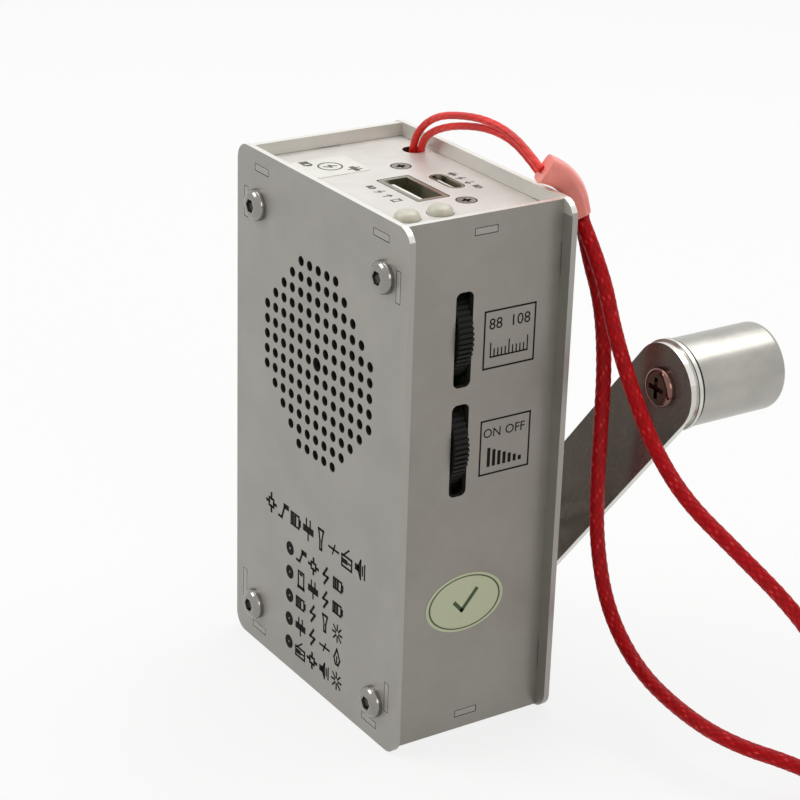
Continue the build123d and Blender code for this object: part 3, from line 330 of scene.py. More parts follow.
@dataclass(frozen=True)
class CutSheet(Finish):
    """Rolled steel sheet: satin faces, grey sawn sides, painted highlight on the cut edges that face upward
    and on the inner face above the lid, and painted shade on the walls of the openings.
    """

    across: int = 1
    edge: Colour = (0.37, 0.355, 0.325)
    # Painted highlight: the light colour given to cut edges that face upward.
    rim_highlight: Colour = (0.80, 0.785, 0.73)
    # Painted shade: the dark colour of the walls of the openings.
    opening_shade: Colour = (0.045, 0.036, 0.03)
    metal: float = 0.55
    open_x: float = 1.0
    open_y: float = 1.0
    open_z: Spot = (2.5 * MM, 104.5 * MM)
    wall_z: float = 103.6 * MM
    rim_facing: float = 0.35
    face_facing: float = 0.6

    def make(self) -> bpy.types.Material:
        """The sheet's material, whose faces look along one axis."""
        bench = ShaderBench(self.name)
        cloud = bench.noise(16 * MM, 3.0, 0.5)
        patch = bench.noise(4 * MM, 2.0, 0.5)
        grit = bench.noise(0.14 * MM, 1.0, 0.6)
        tone = cloud * 0.55 + patch * 0.2 + grit * 0.25
        place, normal = bench.parts(bench.place()), bench.parts(bench.facing())
        # Painted light: inner faces above wall_z are given a lighter copy of the rim colour below.
        inside = (place[self.across] * normal[self.across] * -1.0).over(0.0)
        face = bench.vary(tone, self.colour, 0.93, 1.06)
        face = bench.blend(inside * place[2].over(self.wall_z), face, tint(self.rim_highlight, 0.8))
        opening = (1.0 - abs(place[0]).over(self.open_x)) * (1.0 - abs(place[1]).over(self.open_y))
        opening = opening * place[2].over(self.open_z[0]) * (1.0 - place[2].over(self.open_z[1]))
        # Painted highlight: cut edges that face upward take the light rim colour.
        side = bench.blend(normal[2].over(self.rim_facing), self.edge, self.rim_highlight)
        # Painted shade: the walls inside the openings are darkened.
        side = bench.blend(opening, side, self.opening_shade)
        cut = 1.0 - abs(normal[self.across]).over(self.face_facing)
        colour = bench.blend(cut, face, side)
        rough = (self.roughness + (patch - 0.5) * 0.1 + (grit - 0.5) * 0.1) - cut * 0.1 + cut * opening * 0.3
        bump = bench.relief(grit, 0.006 * MM, 0.45)
        return bench.surface(Base_Color=colour, Roughness=rough, Metallic=self.metal, Normal=bump)


@dataclass(frozen=True)
class BrightMetal(Finish):
    """Polished or plated metal, with faint smudges and hairlines."""

    smudge: float = 0.08
    hairline: float = 0.03

    def make(self) -> bpy.types.Material:
        """The polished metal's material."""
        bench = ShaderBench(self.name)
        cloud = bench.noise(4 * MM, 3.0, 0.6)
        hair = bench.noise(0.12 * MM, 1.0, 0.5, stretch=(30.0, 1.0, 6.0), turn=(0.0, -0.89, 0.0))
        colour = bench.vary(cloud, self.colour, 0.92, 1.05)
        rough = self.roughness + (cloud - 0.5) * self.smudge + (hair - 0.5) * self.hairline
        bump = bench.relief(hair, 0.004 * MM, 0.4)
        return bench.surface(Base_Color=colour, Roughness=rough, Metallic=1.0, Normal=bump)


@dataclass(frozen=True)
class TurnedAlloy(Finish):
    """Lathe-turned aluminium: fine rings round Y, a soft cloud, a few dents, and painted shade in the gaps on
    either side of the washer.
    """

    rings: float = 0.3
    # Painted shade: spans along Y, in metres, that are darkened where the gaps by the washer lie.
    gap_shades: Sequence[Spot] = ((35.7 * MM, 35.95 * MM), (36.75 * MM, 37.4 * MM))

    def make(self) -> bpy.types.Material:
        """The turned metal's material."""
        bench = ShaderBench(self.name)
        rings = bench.noise(0.09 * MM, 2.0, 0.7, stretch=(400.0, 1.0, 400.0))
        cloud = bench.noise(6 * MM, 3.0, 0.55, stretch=(1.0, 2.0, 1.0))
        dents = bench.noise(1.3 * MM, 0.0).ease(0.86, 0.88)
        tone = cloud * (1.0 - self.rings) + rings * self.rings
        colour = bench.vary(tone, self.colour, 0.88, 1.08)
        colour = bench.blend(dents * 0.6, colour, tint(self.colour, 0.5))
        along = bench.parts(bench.place())[1]
        for near, far in self.gap_shades:
            # Painted shade in the gap between two parts.
            gap_shade = along.over(near) * (1.0 - along.over(far))
            colour = bench.blend(gap_shade, colour, tint(self.colour, 0.08))
        rough = self.roughness + (cloud - 0.5) * 0.14
        bump = bench.relief(rings - dents, 0.01 * MM, 0.5)
        return bench.surface(Base_Color=colour, Roughness=rough, Metallic=1.0, Normal=bump)


@dataclass(frozen=True)
class Moulded(Finish):
    """Moulded plastic, ceramic, board or wrap, with a fine grain."""

    grain: float = 0.3 * MM
    depth: float = 0.02 * MM
    shift: float = 0.12
    shine: float = 0.5

    def make(self) -> bpy.types.Material:
        """The moulded material."""
        bench = ShaderBench(self.name)
        grain = bench.noise(self.grain, 2.0, 0.6)
        cloud = bench.noise(5 * MM, 2.0, 0.5)
        tone = cloud * 0.6 + grain * 0.4
        colour = bench.vary(tone, self.colour, 1.0 - self.shift, 1.0 + self.shift)
        rough = self.roughness + (grain - 0.5) * 0.12
        bump = bench.relief(grain, self.depth, 0.5)
        return bench.surface(Base_Color=colour, Roughness=rough, Specular_IOR_Level=self.shine, Normal=bump)


@dataclass(frozen=True)
class SoftResin(Finish):
    """Slightly see-through moulded end piece."""

    depth_share: float = 0.35

    def make(self) -> bpy.types.Material:
        """The resin's material."""
        bench = ShaderBench(self.name)
        cloud = bench.noise(3 * MM, 2.0, 0.5)
        grain = bench.noise(0.25 * MM, 1.0, 0.5)
        colour = bench.vary(cloud, self.colour, 0.92, 1.06)
        rough = self.roughness + (grain - 0.5) * 0.1
        return bench.surface(
            Base_Color=colour,
            Roughness=rough,
            Subsurface_Weight=self.depth_share,
            Subsurface_Radius=(1.0, 0.3, 0.25),
            Subsurface_Scale=2 * MM,
            Normal=bench.relief(grain, 0.01 * MM, 0.4),
        )


@dataclass(frozen=True)
class ClearLens(Finish):
    """Clear or tinted lens."""

    def make(self) -> bpy.types.Material:
        """The lens's material."""
        bench = ShaderBench(self.name)
        cloud = bench.noise(2 * MM, 1.0, 0.5)
        colour = bench.blend(cloud, tint(self.colour, 0.97), self.colour)
        rough = self.roughness + (cloud - 0.5) * 0.02
        return bench.surface(Base_Color=colour, Roughness=rough, Transmission_Weight=0.85, IOR=1.49)


@dataclass(frozen=True)
class WovenCord(Finish):
    """Cord whose mesh carries each strand's height and tone in an attribute named weave, with painted shade
    in the creases and painted highlights on the strand crowns.
    """

    # Painted shade: the colour factor that the creases between strands are darkened to.
    crease_shade: float = 0.2
    # Painted highlight: the pale colour put on the strand crowns, and its share.
    glint: Colour = (0.86, 0.16, 0.13)
    glint_share: float = 0.3
    shine: float = 0.16

    def make(self) -> bpy.types.Material:
        """The cord's material."""
        bench = ShaderBench(self.name)
        height, tone, fibre = bench.parts(bench.attribute("weave"))
        fluff = bench.noise(0.12 * MM, 2.0, 0.7)
        wave = (fibre * 30.0 + fluff * 3.0).sine() * 0.5 + 0.5
        colour = bench.blend(tone, tint(self.colour, 0.82), tint(self.colour, 1.12))
        # Painted shade: the low parts between strands are darkened.
        colour = bench.blend((1.0 - height) ** 1.4 * 0.9, colour, tint(self.colour, self.crease_shade))
        # Painted highlight: pale flecks on the highest parts of the strands.
        glint_mask = (wave * height * tone).ease(0.62, 0.95) * self.glint_share
        colour = bench.blend(glint_mask, colour, self.glint)
        rough = self.roughness + (fluff - 0.5) * 0.2 - glint_mask * 0.3
        bump = bench.relief(wave * 0.6 + fluff * 0.4, 0.025 * MM, 0.5)
        return bench.surface(Base_Color=colour, Roughness=rough, Specular_IOR_Level=self.shine, Normal=bump)


@dataclass(frozen=True)
class OvalPaper(Finish):
    """Coated paper with a printed oval line, on a plate that faces +X."""

    centre: Spot = (0.0, 0.0)
    half: Spot = (1.0, 1.0)
    line: Colour = (0.05, 0.07, 0.03)

    def make(self) -> bpy.types.Material:
        """The paper's material, with its line drawn by distance from the centre."""
        bench = ShaderBench(self.name)
        _, across, up = bench.parts(bench.place())
        far_across, far_up = (across - self.centre[0]) / self.half[0], (up - self.centre[1]) / self.half[1]
        far = far_across ** 2.0 + far_up ** 2.0
        ring = far.ease(0.76, 0.79) - far.ease(0.84, 0.87)
        fibre = bench.noise(0.5 * MM, 3.0, 0.6)
        paper = bench.blend(fibre, tint(self.colour, 0.94), tint(self.colour, 1.04))
        colour = bench.blend(ring, paper, self.line)
        bump = bench.relief(fibre, 0.01 * MM, 0.4)
        return bench.surface(Base_Color=colour, Roughness=self.roughness + (fibre - 0.5) * 0.1, Normal=bump)


class Steel(Enum):
    """Finishes of the case's plates, by the axis that the plates face: lit and shaded copies of one steel,
    with painted shade on the side plates and painted light on the lid plates.
    """

    END = CutSheet("steel_end_plates", (0.34, 0.325, 0.295), 0.42, across=1, open_x=28.6 * MM)
    # Painted shade: the same steel as the end plates, coloured darker.
    SIDE = CutSheet("steel_side_plates_painted_shade", (0.29, 0.275, 0.245), 0.40, across=0, open_y=16.5 * MM)
    # Painted light: the same steel as the end plates, coloured about twice as light.
    LID = CutSheet("steel_lid_plates_painted_light", (0.68, 0.655, 0.615), 0.40, across=2, metal=0.3, open_x=26 * MM,
                   open_y=16.5 * MM, wall_z=1.0)
    INNER = CutSheet("steel_inner", (0.45, 0.45, 0.45), 0.4, across=1, open_x=0.0)
    ARM = CutSheet("polished_arm", (0.25, 0.215, 0.19), 0.26, across=1, edge=(0.66, 0.65, 0.60), metal=0.7,
                   open_x=0.0)


class Metal(Enum):
    """Finishes of the other metal pieces."""

    SCREW = BrightMetal("bright_screws", (0.27, 0.26, 0.24), 0.13)
    LID_SCREW = BrightMetal("lid_screws", (0.27, 0.23, 0.20), 0.26)
    # Painted reflection: the red-brown colour stands for the red strap mirrored in the screw head.
    GRIP_SCREW = BrightMetal("grip_screw", (0.18, 0.10, 0.085), 0.12)
    SOCKET = BrightMetal("plated_socket", (0.30, 0.285, 0.215), 0.3)
    CUP = BrightMetal("mirror_cup", (0.86, 0.86, 0.87), 0.08)
    BRASS = BrightMetal("turned_brass", (0.72, 0.54, 0.24), 0.25)
    GRIP = TurnedAlloy("turned_grip", (0.39, 0.38, 0.345), 0.28)
    FITTING = TurnedAlloy("turned_fittings", (0.62, 0.61, 0.57), 0.30)


class Mould(Enum):
    """Finishes of moulded, printed and coated pieces."""

    WHEEL = Moulded("wheel_black", (0.005, 0.005, 0.004), 0.5, shine=0.2)
    CONTROL = Moulded("control_body", (0.42, 0.42, 0.37), 0.5)
    GEAR = Moulded("gear_plastic", (0.78, 0.76, 0.68), 0.45)
    BOARD = Moulded("circuit_board", (0.03, 0.17, 0.06), 0.35, grain=1.2 * MM)
    TONGUE = Moulded("socket_tongue", (0.82, 0.81, 0.74), 0.45)
    SWITCH = Moulded("switch_black", (0.03, 0.03, 0.03), 0.5)
    CERAMIC = Moulded("ceramic", (0.80, 0.76, 0.66), 0.6)
    BATTERY = Moulded("battery_wrap", (0.03, 0.09, 0.35), 0.28, grain=2 * MM)
    MAGNET = Moulded("magnet_dark", (0.06, 0.06, 0.065), 0.4)
    WINDING = Moulded("copper_winding", (0.50, 0.20, 0.08), 0.3)
    BASKET = Moulded("speaker_black", (0.008, 0.008, 0.008), 0.6, shine=0.2)
    CONE = Moulded("speaker_paper", (0.006, 0.006, 0.006), 0.9, grain=0.5 * MM, depth=0.05 * MM, shine=0.1)
    INK = Moulded("printed_ink", (0.010, 0.008, 0.007), 0.75, shift=0.3, shine=0.1)
    PALE_INK = Moulded("printed_ink_pale", (0.34, 0.33, 0.30), 0.5)
    FAINT_INK = Moulded("printed_ink_faint", (0.10, 0.09, 0.085), 0.6, shift=0.3)
    TICK = Moulded("printed_green", (0.03, 0.06, 0.015), 0.5)
    LABEL = Moulded("label_paper", (0.76, 0.75, 0.68), 0.5, grain=0.6 * MM, shift=0.04)


class Soft(Enum):
    """Finishes of the lanyard and the see-through pieces."""

    # The cords' darkened creases and pale flecks are painted shade and painted highlights.
    STRAP = WovenCord("strap_red", (0.52, 0.0, 0.004), 0.42, crease_shade=0.4, glint=(1.0, 0.38, 0.33),
                      glint_share=0.5)
    THREAD = WovenCord("thread_red", (0.80, 0.02, 0.012), 0.30, crease_shade=0.7, glint=(1.0, 0.3, 0.25),
                       shine=0.35)
    BEAD = SoftResin("bead_red", (1.0, 0.31, 0.26), 0.3, depth_share=0.2)
    LAMP = SoftResin("lamp_cream", (0.60, 0.59, 0.49), 0.3)
    LENS = ClearLens("lens_clear", (0.96, 0.97, 0.98), 0.02)


class Paintshop:
    """Makes each finish once and puts it on pieces."""

    def __init__(self) -> None:
        """Starts with no materials made."""
        self._made: dict[str, bpy.types.Material] = {}

    def material(self, finish: Finish) -> bpy.types.Material:
        """The material of a finish, made on first use.

        Args:
            finish: The finish.

        Returns:
            Its material.
        """
        if finish.name not in self._made:
            self._made[finish.name] = finish.make()
        return self._made[finish.name]

    def coat(self, piece: bpy.types.Object, finish: Finish) -> None:
        """Covers a whole piece with a finish.

        Args:
            piece: The piece.
            finish: The finish.
        """
        material = self.material(finish)
        if not piece.data.materials:
            piece.data.materials.append(material)
        for slot in piece.material_slots:
            slot.material = material


def piece_from(bm: bmesh.types.BMesh, name: str) -> bpy.types.Object:
    """Turns a bmesh into an object at the origin.

    Args:
        bm: The mesh, which is freed.
        name: The object's name.

    Returns:
        The object, linked to the scene.
    """
    mesh = bpy.data.meshes.new(name)
    for face in bm.faces:
        face.smooth = False
    bm.to_mesh(mesh)
    bm.free()
    return placed(name, mesh)


def placed(name: str, data: bpy.types.ID) -> bpy.types.Object:
    """A new object, linked to the scene.

    Args:
        name: The object's name.
        data: Its mesh, curve, text, camera or lamp.

    Returns:
        The object.
    """
    thing = bpy.data.objects.new(name, data)
    bpy.context.scene.collection.objects.link(thing)
    return thing


def mesh_of(data: bpy.types.Curve) -> bpy.types.Mesh:
    """Turns a curve or text into a mesh.

    Args:
        data: The curve or text, which is removed.

    Returns:
        The mesh.
    """
    holder = placed("holder", data)
    bpy.context.view_layer.update()
    mesh = bpy.data.meshes.new_from_object(holder.evaluated_get(bpy.context.evaluated_depsgraph_get()))
    bpy.data.objects.remove(holder)
    bpy.data.curves.remove(data)
    return mesh


class Studio:
    """Camera, lamps, world and floor. The camera's place was fitted to the photograph's corners."""

    AZIMUTH, ELEVATION, ROLL = math.radians(56.656), math.radians(23.064), math.radians(1.769)
    DISTANCE = 455.925 * MM
    TARGET = Vector((1.459, 0.026, 59.80)) * MM
    FOCAL_PX, IMAGE_PX, SENSOR_MM = 2334.16, 800.0, 36.0
    CLIP = (0.01, 20.0)
    LAMPS: Sequence[tuple[str, Point, float, float, Colour]] = (
        ("key_lamp", (-0.55, -0.75, 0.95), 0.7, 6.8, WHITE),
        ("top_lamp", (-0.1, 0.35, 1.0), 0.9, 7.0, WHITE),
        ("side_lamp", (1.1, -0.1, 0.5), 0.5, 2.0, (1.0, 0.97, 0.93)),
    )
    DIFFUSE_LIGHT = 0.22  # What the white world gives to matt surfaces, where a mirror sees 1.
    FLOOR_HALF = 4.0
    FLOOR_COLOUR: Colour = (0.88, 0.88, 0.87)
    FLOOR_GLOW = 0.8  # Share of plain white in the floor that the camera sees.

    def camera(self) -> None:
        """Adds the camera."""
        sin_a, cos_a = math.sin(self.AZIMUTH), math.cos(self.AZIMUTH)
        flat, rise = math.cos(self.ELEVATION), math.sin(self.ELEVATION)
        back = Vector((sin_a * flat, -cos_a * flat, rise))
        level = Vector((cos_a, sin_a, 0.0))
        upward = back.cross(level)
        right = level * math.cos(self.ROLL) + upward * math.sin(self.ROLL)
        up = upward * math.cos(self.ROLL) - level * math.sin(self.ROLL)
        data = bpy.data.cameras.new("photo_camera")
        data.sensor_fit = "HORIZONTAL"
        data.sensor_width = self.SENSOR_MM
        data.lens = self.FOCAL_PX * self.SENSOR_MM / self.IMAGE_PX
        data.clip_start, data.clip_end = self.CLIP
        camera = placed("photo_camera", data)
        turn = Matrix((right, up, back)).transposed().to_4x4()
        camera.matrix_world = Matrix.Translation(self.TARGET + back * self.DISTANCE) @ turn
        bpy.context.scene.camera = camera

    def lamp(self, name: str, place: Point, size: float, power: float, colour: Colour) -> None:
        """Adds a square soft lamp that faces the object.

        Args:
            name: The lamp's name.
            place: Its middle, in metres.
            size: Its side, in metres.
            power: Its power in watts.
            colour: Its colour.
        """
        data = bpy.data.lights.new(name, "AREA")
        data.shape, data.size, data.energy, data.color = "SQUARE", size, power, colour
        lamp = placed(name, data)
        lamp.location = place
        lamp.rotation_euler = (self.TARGET - Vector(place)).to_track_quat("-Z", "Y").to_euler()

    @staticmethod
    def _seen(bench: ShaderBench) -> Wire:
        """1 for rays of the camera and of gloss and glass, which see the white surroundings."""
        rays = bench.node("ShaderNodeLightPath")
        outputs = rays.socket.node.outputs
        seen = Wire(bench, outputs["Is Camera Ray"]) + Wire(bench, outputs["Is Glossy Ray"])
        return (seen + Wire(bench, outputs["Is Transmission Ray"])).over(0.5)

    def surroundings(self) -> None:
        """Adds the world and the floor."""
        world = bpy.data.worlds.new("studio_world")
        bench = ShaderBench(world.name, world)
        strength = self._seen(bench) * (1.0 - self.DIFFUSE_LIGHT) + self.DIFFUSE_LIGHT
        light = bench.node("ShaderNodeBackground", None, {0: (*WHITE, 1.0), 1: strength})
        bench.node("ShaderNodeOutputWorld", None, {0: light})
        bpy.context.scene.world = world

        bm = bmesh.new()
        bmesh.ops.create_grid(bm, x_segments=1, y_segments=1, size=self.FLOOR_HALF)
        floor = piece_from(bm, "studio_floor")
        bench = ShaderBench("studio_floor")
        matt = bench.node("ShaderNodeBsdfDiffuse", None, {0: (*self.FLOOR_COLOUR, 1.0)})
        glow = bench.node("ShaderNodeEmission", None, {0: (*WHITE, 1.0), 1: 1.0})
        share = self._seen(bench) * self.FLOOR_GLOW
        mixed = bench.node("ShaderNodeMixShader", None, {0: share, 1: matt, 2: glow})
        bench.node("ShaderNodeOutputMaterial", None, {0: mixed})
        floor.data.materials.append(bench.material)

    def build(self) -> None:
        """Adds everything."""
        self.camera()
        self.surroundings()
        for lamp in self.LAMPS:
            self.lamp(*lamp)
        bpy.context.scene.view_settings.view_transform = "Standard"
        LOG.info("camera, lamps and floor")


Relief = Callable[[float, float], tuple[float, float, float]]


def braid_relief(strands: int, pick: float) -> Relief:
    """Surface of a round braid of strands that pass over and under each other.

    Args:
        strands: Strands in each of the two directions.
        pick: Length of a crossing along the cord, in metres.

    Returns:
        A function of angle and distance that gives height, tone and fibre place, each from 0 to 1.
    """

    def relief(angle: float, along: float) -> tuple[float, float, float]:
        """Height, tone and fibre place at one point."""
        turn = strands * angle / (2 * math.pi)
        first, second = turn + along / pick, turn - along / pick
        if (math.floor(first) + math.floor(second)) % 2:
            first, second = second, first
        across, length = first % 1.0, second % 1.0
        height = math.sin(math.pi * across) ** 0.6 * (0.45 + 0.55 * math.sin(math.pi * length) ** 0.7)
        tone = 0.5 + 0.5 * math.sin(12.9898 * math.floor(first) + 4.1 * math.floor(second))
        return height, tone, across

    return relief


def twist_relief(plies: int, lay: float) -> Relief:
    """Surface of a thread laid from a few twisted plies.

    Args:
        plies: Number of plies.
        lay: Length of one full turn, in metres.

    Returns:
        A function of angle and distance that gives height, tone and fibre place, each from 0 to 1.
    """

    def relief(angle: float, along: float) -> tuple[float, float, float]:
        """Height, tone and fibre place at one point."""
        turn = plies * (angle / (2 * math.pi) + along / lay)
        across = turn % 1.0
        return math.sin(math.pi * across) ** 0.6, 0.5 + 0.5 * math.sin(7.3 * math.floor(turn)), across

    return relief


def swept(route: Sequence[Point], radius: float, steps: int, rounding: int,
          closed: bool = False) -> bpy.types.Mesh:
    """The line or tube of a smooth spline.

    Args:
        route: The spline's points, in metres.
        radius: The tube's radius, or 0 for the bare line.
        steps: Parts between one point and the next.
        rounding: The tube's bevel resolution.
        closed: Whether the spline is a ring.

    Returns:
        The mesh.
    """
    data = bpy.data.curves.new("route", "CURVE")
    data.dimensions, data.resolution_u = "3D", steps
    data.bevel_depth, data.bevel_resolution = radius, rounding
    spline = data.splines.new("NURBS")
    spline.points.add(len(route) - 1)
    for point, place in zip(spline.points, route):
        point.co = (*place, 1.0)
    spline.order_u = 4 if closed else 3
    spline.use_cyclic_u, spline.use_endpoint_u = closed, not closed
    return mesh_of(data)


@dataclass
class Cord:
    """One cord of the lanyard, woven round the line of a smooth spline."""

    name: str
    route: Sequence[Point]
    radius: float
    relief: Relief
    depth: float
    sides: int
    steps: int

    def _mesh(self, radius: float) -> bpy.types.Mesh:
        """The line, or the tube of a radius, round the cord's route."""
        route = [tuple(value * MM for value in place) for place in self.route]
        return swept(route, radius, self.steps, self.sides // 2 - 2)

    def weave(self) -> tuple[bpy.types.Object, list[Vector]]:
        """Makes the cord.

        Returns:
            The cord's object and the points of its line.
        """
        line_mesh = self._mesh(0.0)
        line = [vertex.co.copy() for vertex in line_mesh.vertices]
        bpy.data.meshes.remove(line_mesh)
        mesh = self._mesh(self.radius)
        mesh.name = self.name
        mesh.materials.clear()
        around = len(mesh.vertices) // len(line)
        weave = mesh.attributes.new("weave", "FLOAT_COLOR", "POINT")
        along = 0.0
        for ring, middle in enumerate(line):
            if ring:
                along += (middle - line[ring - 1]).length
            for side in range(around):
                index = ring * around + side
                vertex = mesh.vertices[index]
                height, tone, fibre = self.relief(2 * math.pi * side / around, along)
                radius = self.radius - self.depth * (1.0 - height)
                vertex.co = middle + (vertex.co - middle).normalized() * radius
                weave.data[index].color = (height, tone, fibre, 1.0)
        bm = bmesh.new()
        bm.from_mesh(mesh)
        bmesh.ops.holes_fill(bm, edges=[edge for edge in bm.edges if edge.is_boundary])
        for face in bm.faces:
            face.smooth = True
        bm.to_mesh(mesh)
        bm.free()
        return placed(self.name, mesh), line


@dataclass
class Lanyard:
    """Two threads from the top plate to a moulded bead, and the wrist strap that leaves it."""

    thread_radius: float = 0.75 * MM
    strap_radius: float = 1.5 * MM
    knot_points: int = 18
    knot_spread: float = 0.6 * MM
    knot_height: float = 1.35 * MM
    knot_tightness: float = 0.95
    upper: Sequence[Point] = (
        (-17.9, 13.6, 99.6), (-17.7, 13.7, 104.6), (-15.4, 14.2, 108.9), (-10.4, 14.7, 112.2),
        (-3.6, 15.2, 114.0), (3.6, 15.7, 115.0), (10.2, 16.3, 114.5), (15.8, 16.9, 112.3),
        (20.6, 17.1, 109.6),
    )
    lower: Sequence[Point] = (
        (-16.6, 14.6, 99.6), (-16.4, 14.7, 104.2), (-14.1, 14.9, 107.6), (-8.8, 15.3, 110.3),
        (-2.6, 15.9, 112.1), (3.8, 16.6, 113.1), (9.8, 17.3, 112.7), (15.0, 17.8, 110.6),
        (19.8, 17.9, 107.9),
    )
    strap: Sequence[Point] = (
        (22.6, 25.1, 101.4), (24.9, 25.7, 93.4), (27.7, 27.5, 84.0), (29.0, 28.2, 72.5),
        (28.6, 28.7, 59.5), (28.0, 29.2, 46.5), (28.5, 29.6, 33.5), (33.0, 29.8, 20.5),
        (43.6, 29.6, 12.4), (57.0, 29.4, 10.0), (70.8, 30.5, 9.5), (81.2, 40.4, 6.7),
        (91.4, 47.4, 2.5), (99.5, 55.5, 1.65), (102.6, 66.0, 1.6), (101.6, 75.4, 1.55),
        (95.6, 82.6, 1.55), (86.8, 83.4, 1.6), (80.0, 77.4, 2.6), (77.6, 67.6, 6.6),
        (77.9, 57.0, 14.0), (78.3, 47.3, 25.0), (76.0, 39.0, 37.6), (66.6, 31.4, 47.9),
        (56.3, 27.6, 54.4), (47.0, 26.8, 61.6), (39.8, 26.5, 70.6), (34.6, 25.4, 81.2),
        (30.9, 24.8, 91.6), (26.0, 23.0, 100.4),
    )

    def _thread(self, name: str, route: Sequence[Point]) -> Cord:
        """One of the two threads, before it is woven."""
        twist = twist_relief(plies=3, lay=7 * MM)
        return Cord(name, route, self.thread_radius, twist, depth=0.05 * MM, sides=20, steps=26)

    def _declare(self, cord: Cord, node: str, shop: Paintshop, finish: Finish) -> None:
        """Weaves, places and coats a cord, and hides its CAD node.

        Args:
            cord: The cord.
            node: The CAD node that it stands for.
            shop: The paint shop.
            finish: The cord's finish.
        """
        piece, line = cord.weave()
        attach(piece, "case")
        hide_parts(node)
        shop.coat(piece, finish)
        2 * cord.radius

    def knot(self, shop: Paintshop) -> bpy.types.Object:
        """Ties the knot that keeps the threads in the top plate.

        Args:
            shop: The paint shop.

        Returns:
            The knot.
        """
        low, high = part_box("lanyard_knot")
        centre = (low + high) / 2
        route = []
        for step in range(self.knot_points):
            turn = 2 * math.pi * step / self.knot_points
            wide = (math.sin(turn) + 2 * math.sin(2 * turn)) * self.knot_spread
            deep = (math.cos(turn) - 2 * math.cos(2 * turn)) * self.knot_spread
            tall = -math.sin(3 * turn) * self.knot_height
            route.append((centre.x + wide, centre.y + deep, centre.z + tall))
        mesh = swept(route, self.thread_radius * self.knot_tightness, steps=6, rounding=4, closed=True)
        mesh.name = "thread_knot"
        mesh.materials.clear()
        weave = mesh.attributes.new("weave", "FLOAT_COLOR", "POINT")
        for item in weave.data:
            item.color = (0.9, 0.5, 0.5, 1.0)
        knot = placed("thread_knot", mesh)
        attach(knot, "case")
        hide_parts("lanyard_knot")
        shop.coat(knot, Soft.THREAD.value)
        return knot

    def build(self, nodes: dict[str, bpy.types.Object], shop: Paintshop) -> None:
        """Makes the threads, the knot and the strap, and dresses the bead.

        Args:
            nodes: The CAD nodes.
            shop: The paint shop.
        """
        knot = self.knot(shop)
        bead = nodes["lanyard_bead"]
        shop.coat(bead, Soft.BEAD.value)
        self._declare(self._thread("thread_long", self.upper), "thread_upper", shop,
                      Soft.THREAD.value)
        self._declare(self._thread("thread_short", self.lower), "thread_lower", shop,
                      Soft.THREAD.value)
        braid = braid_relief(strands=8, pick=2.2 * MM)
        strap = Cord("wrist_strap", self.strap, self.strap_radius, braid, depth=0.14 * MM, sides=40, steps=54)
        self._declare(strap, "lanyard_strap", shop, Soft.STRAP.value)


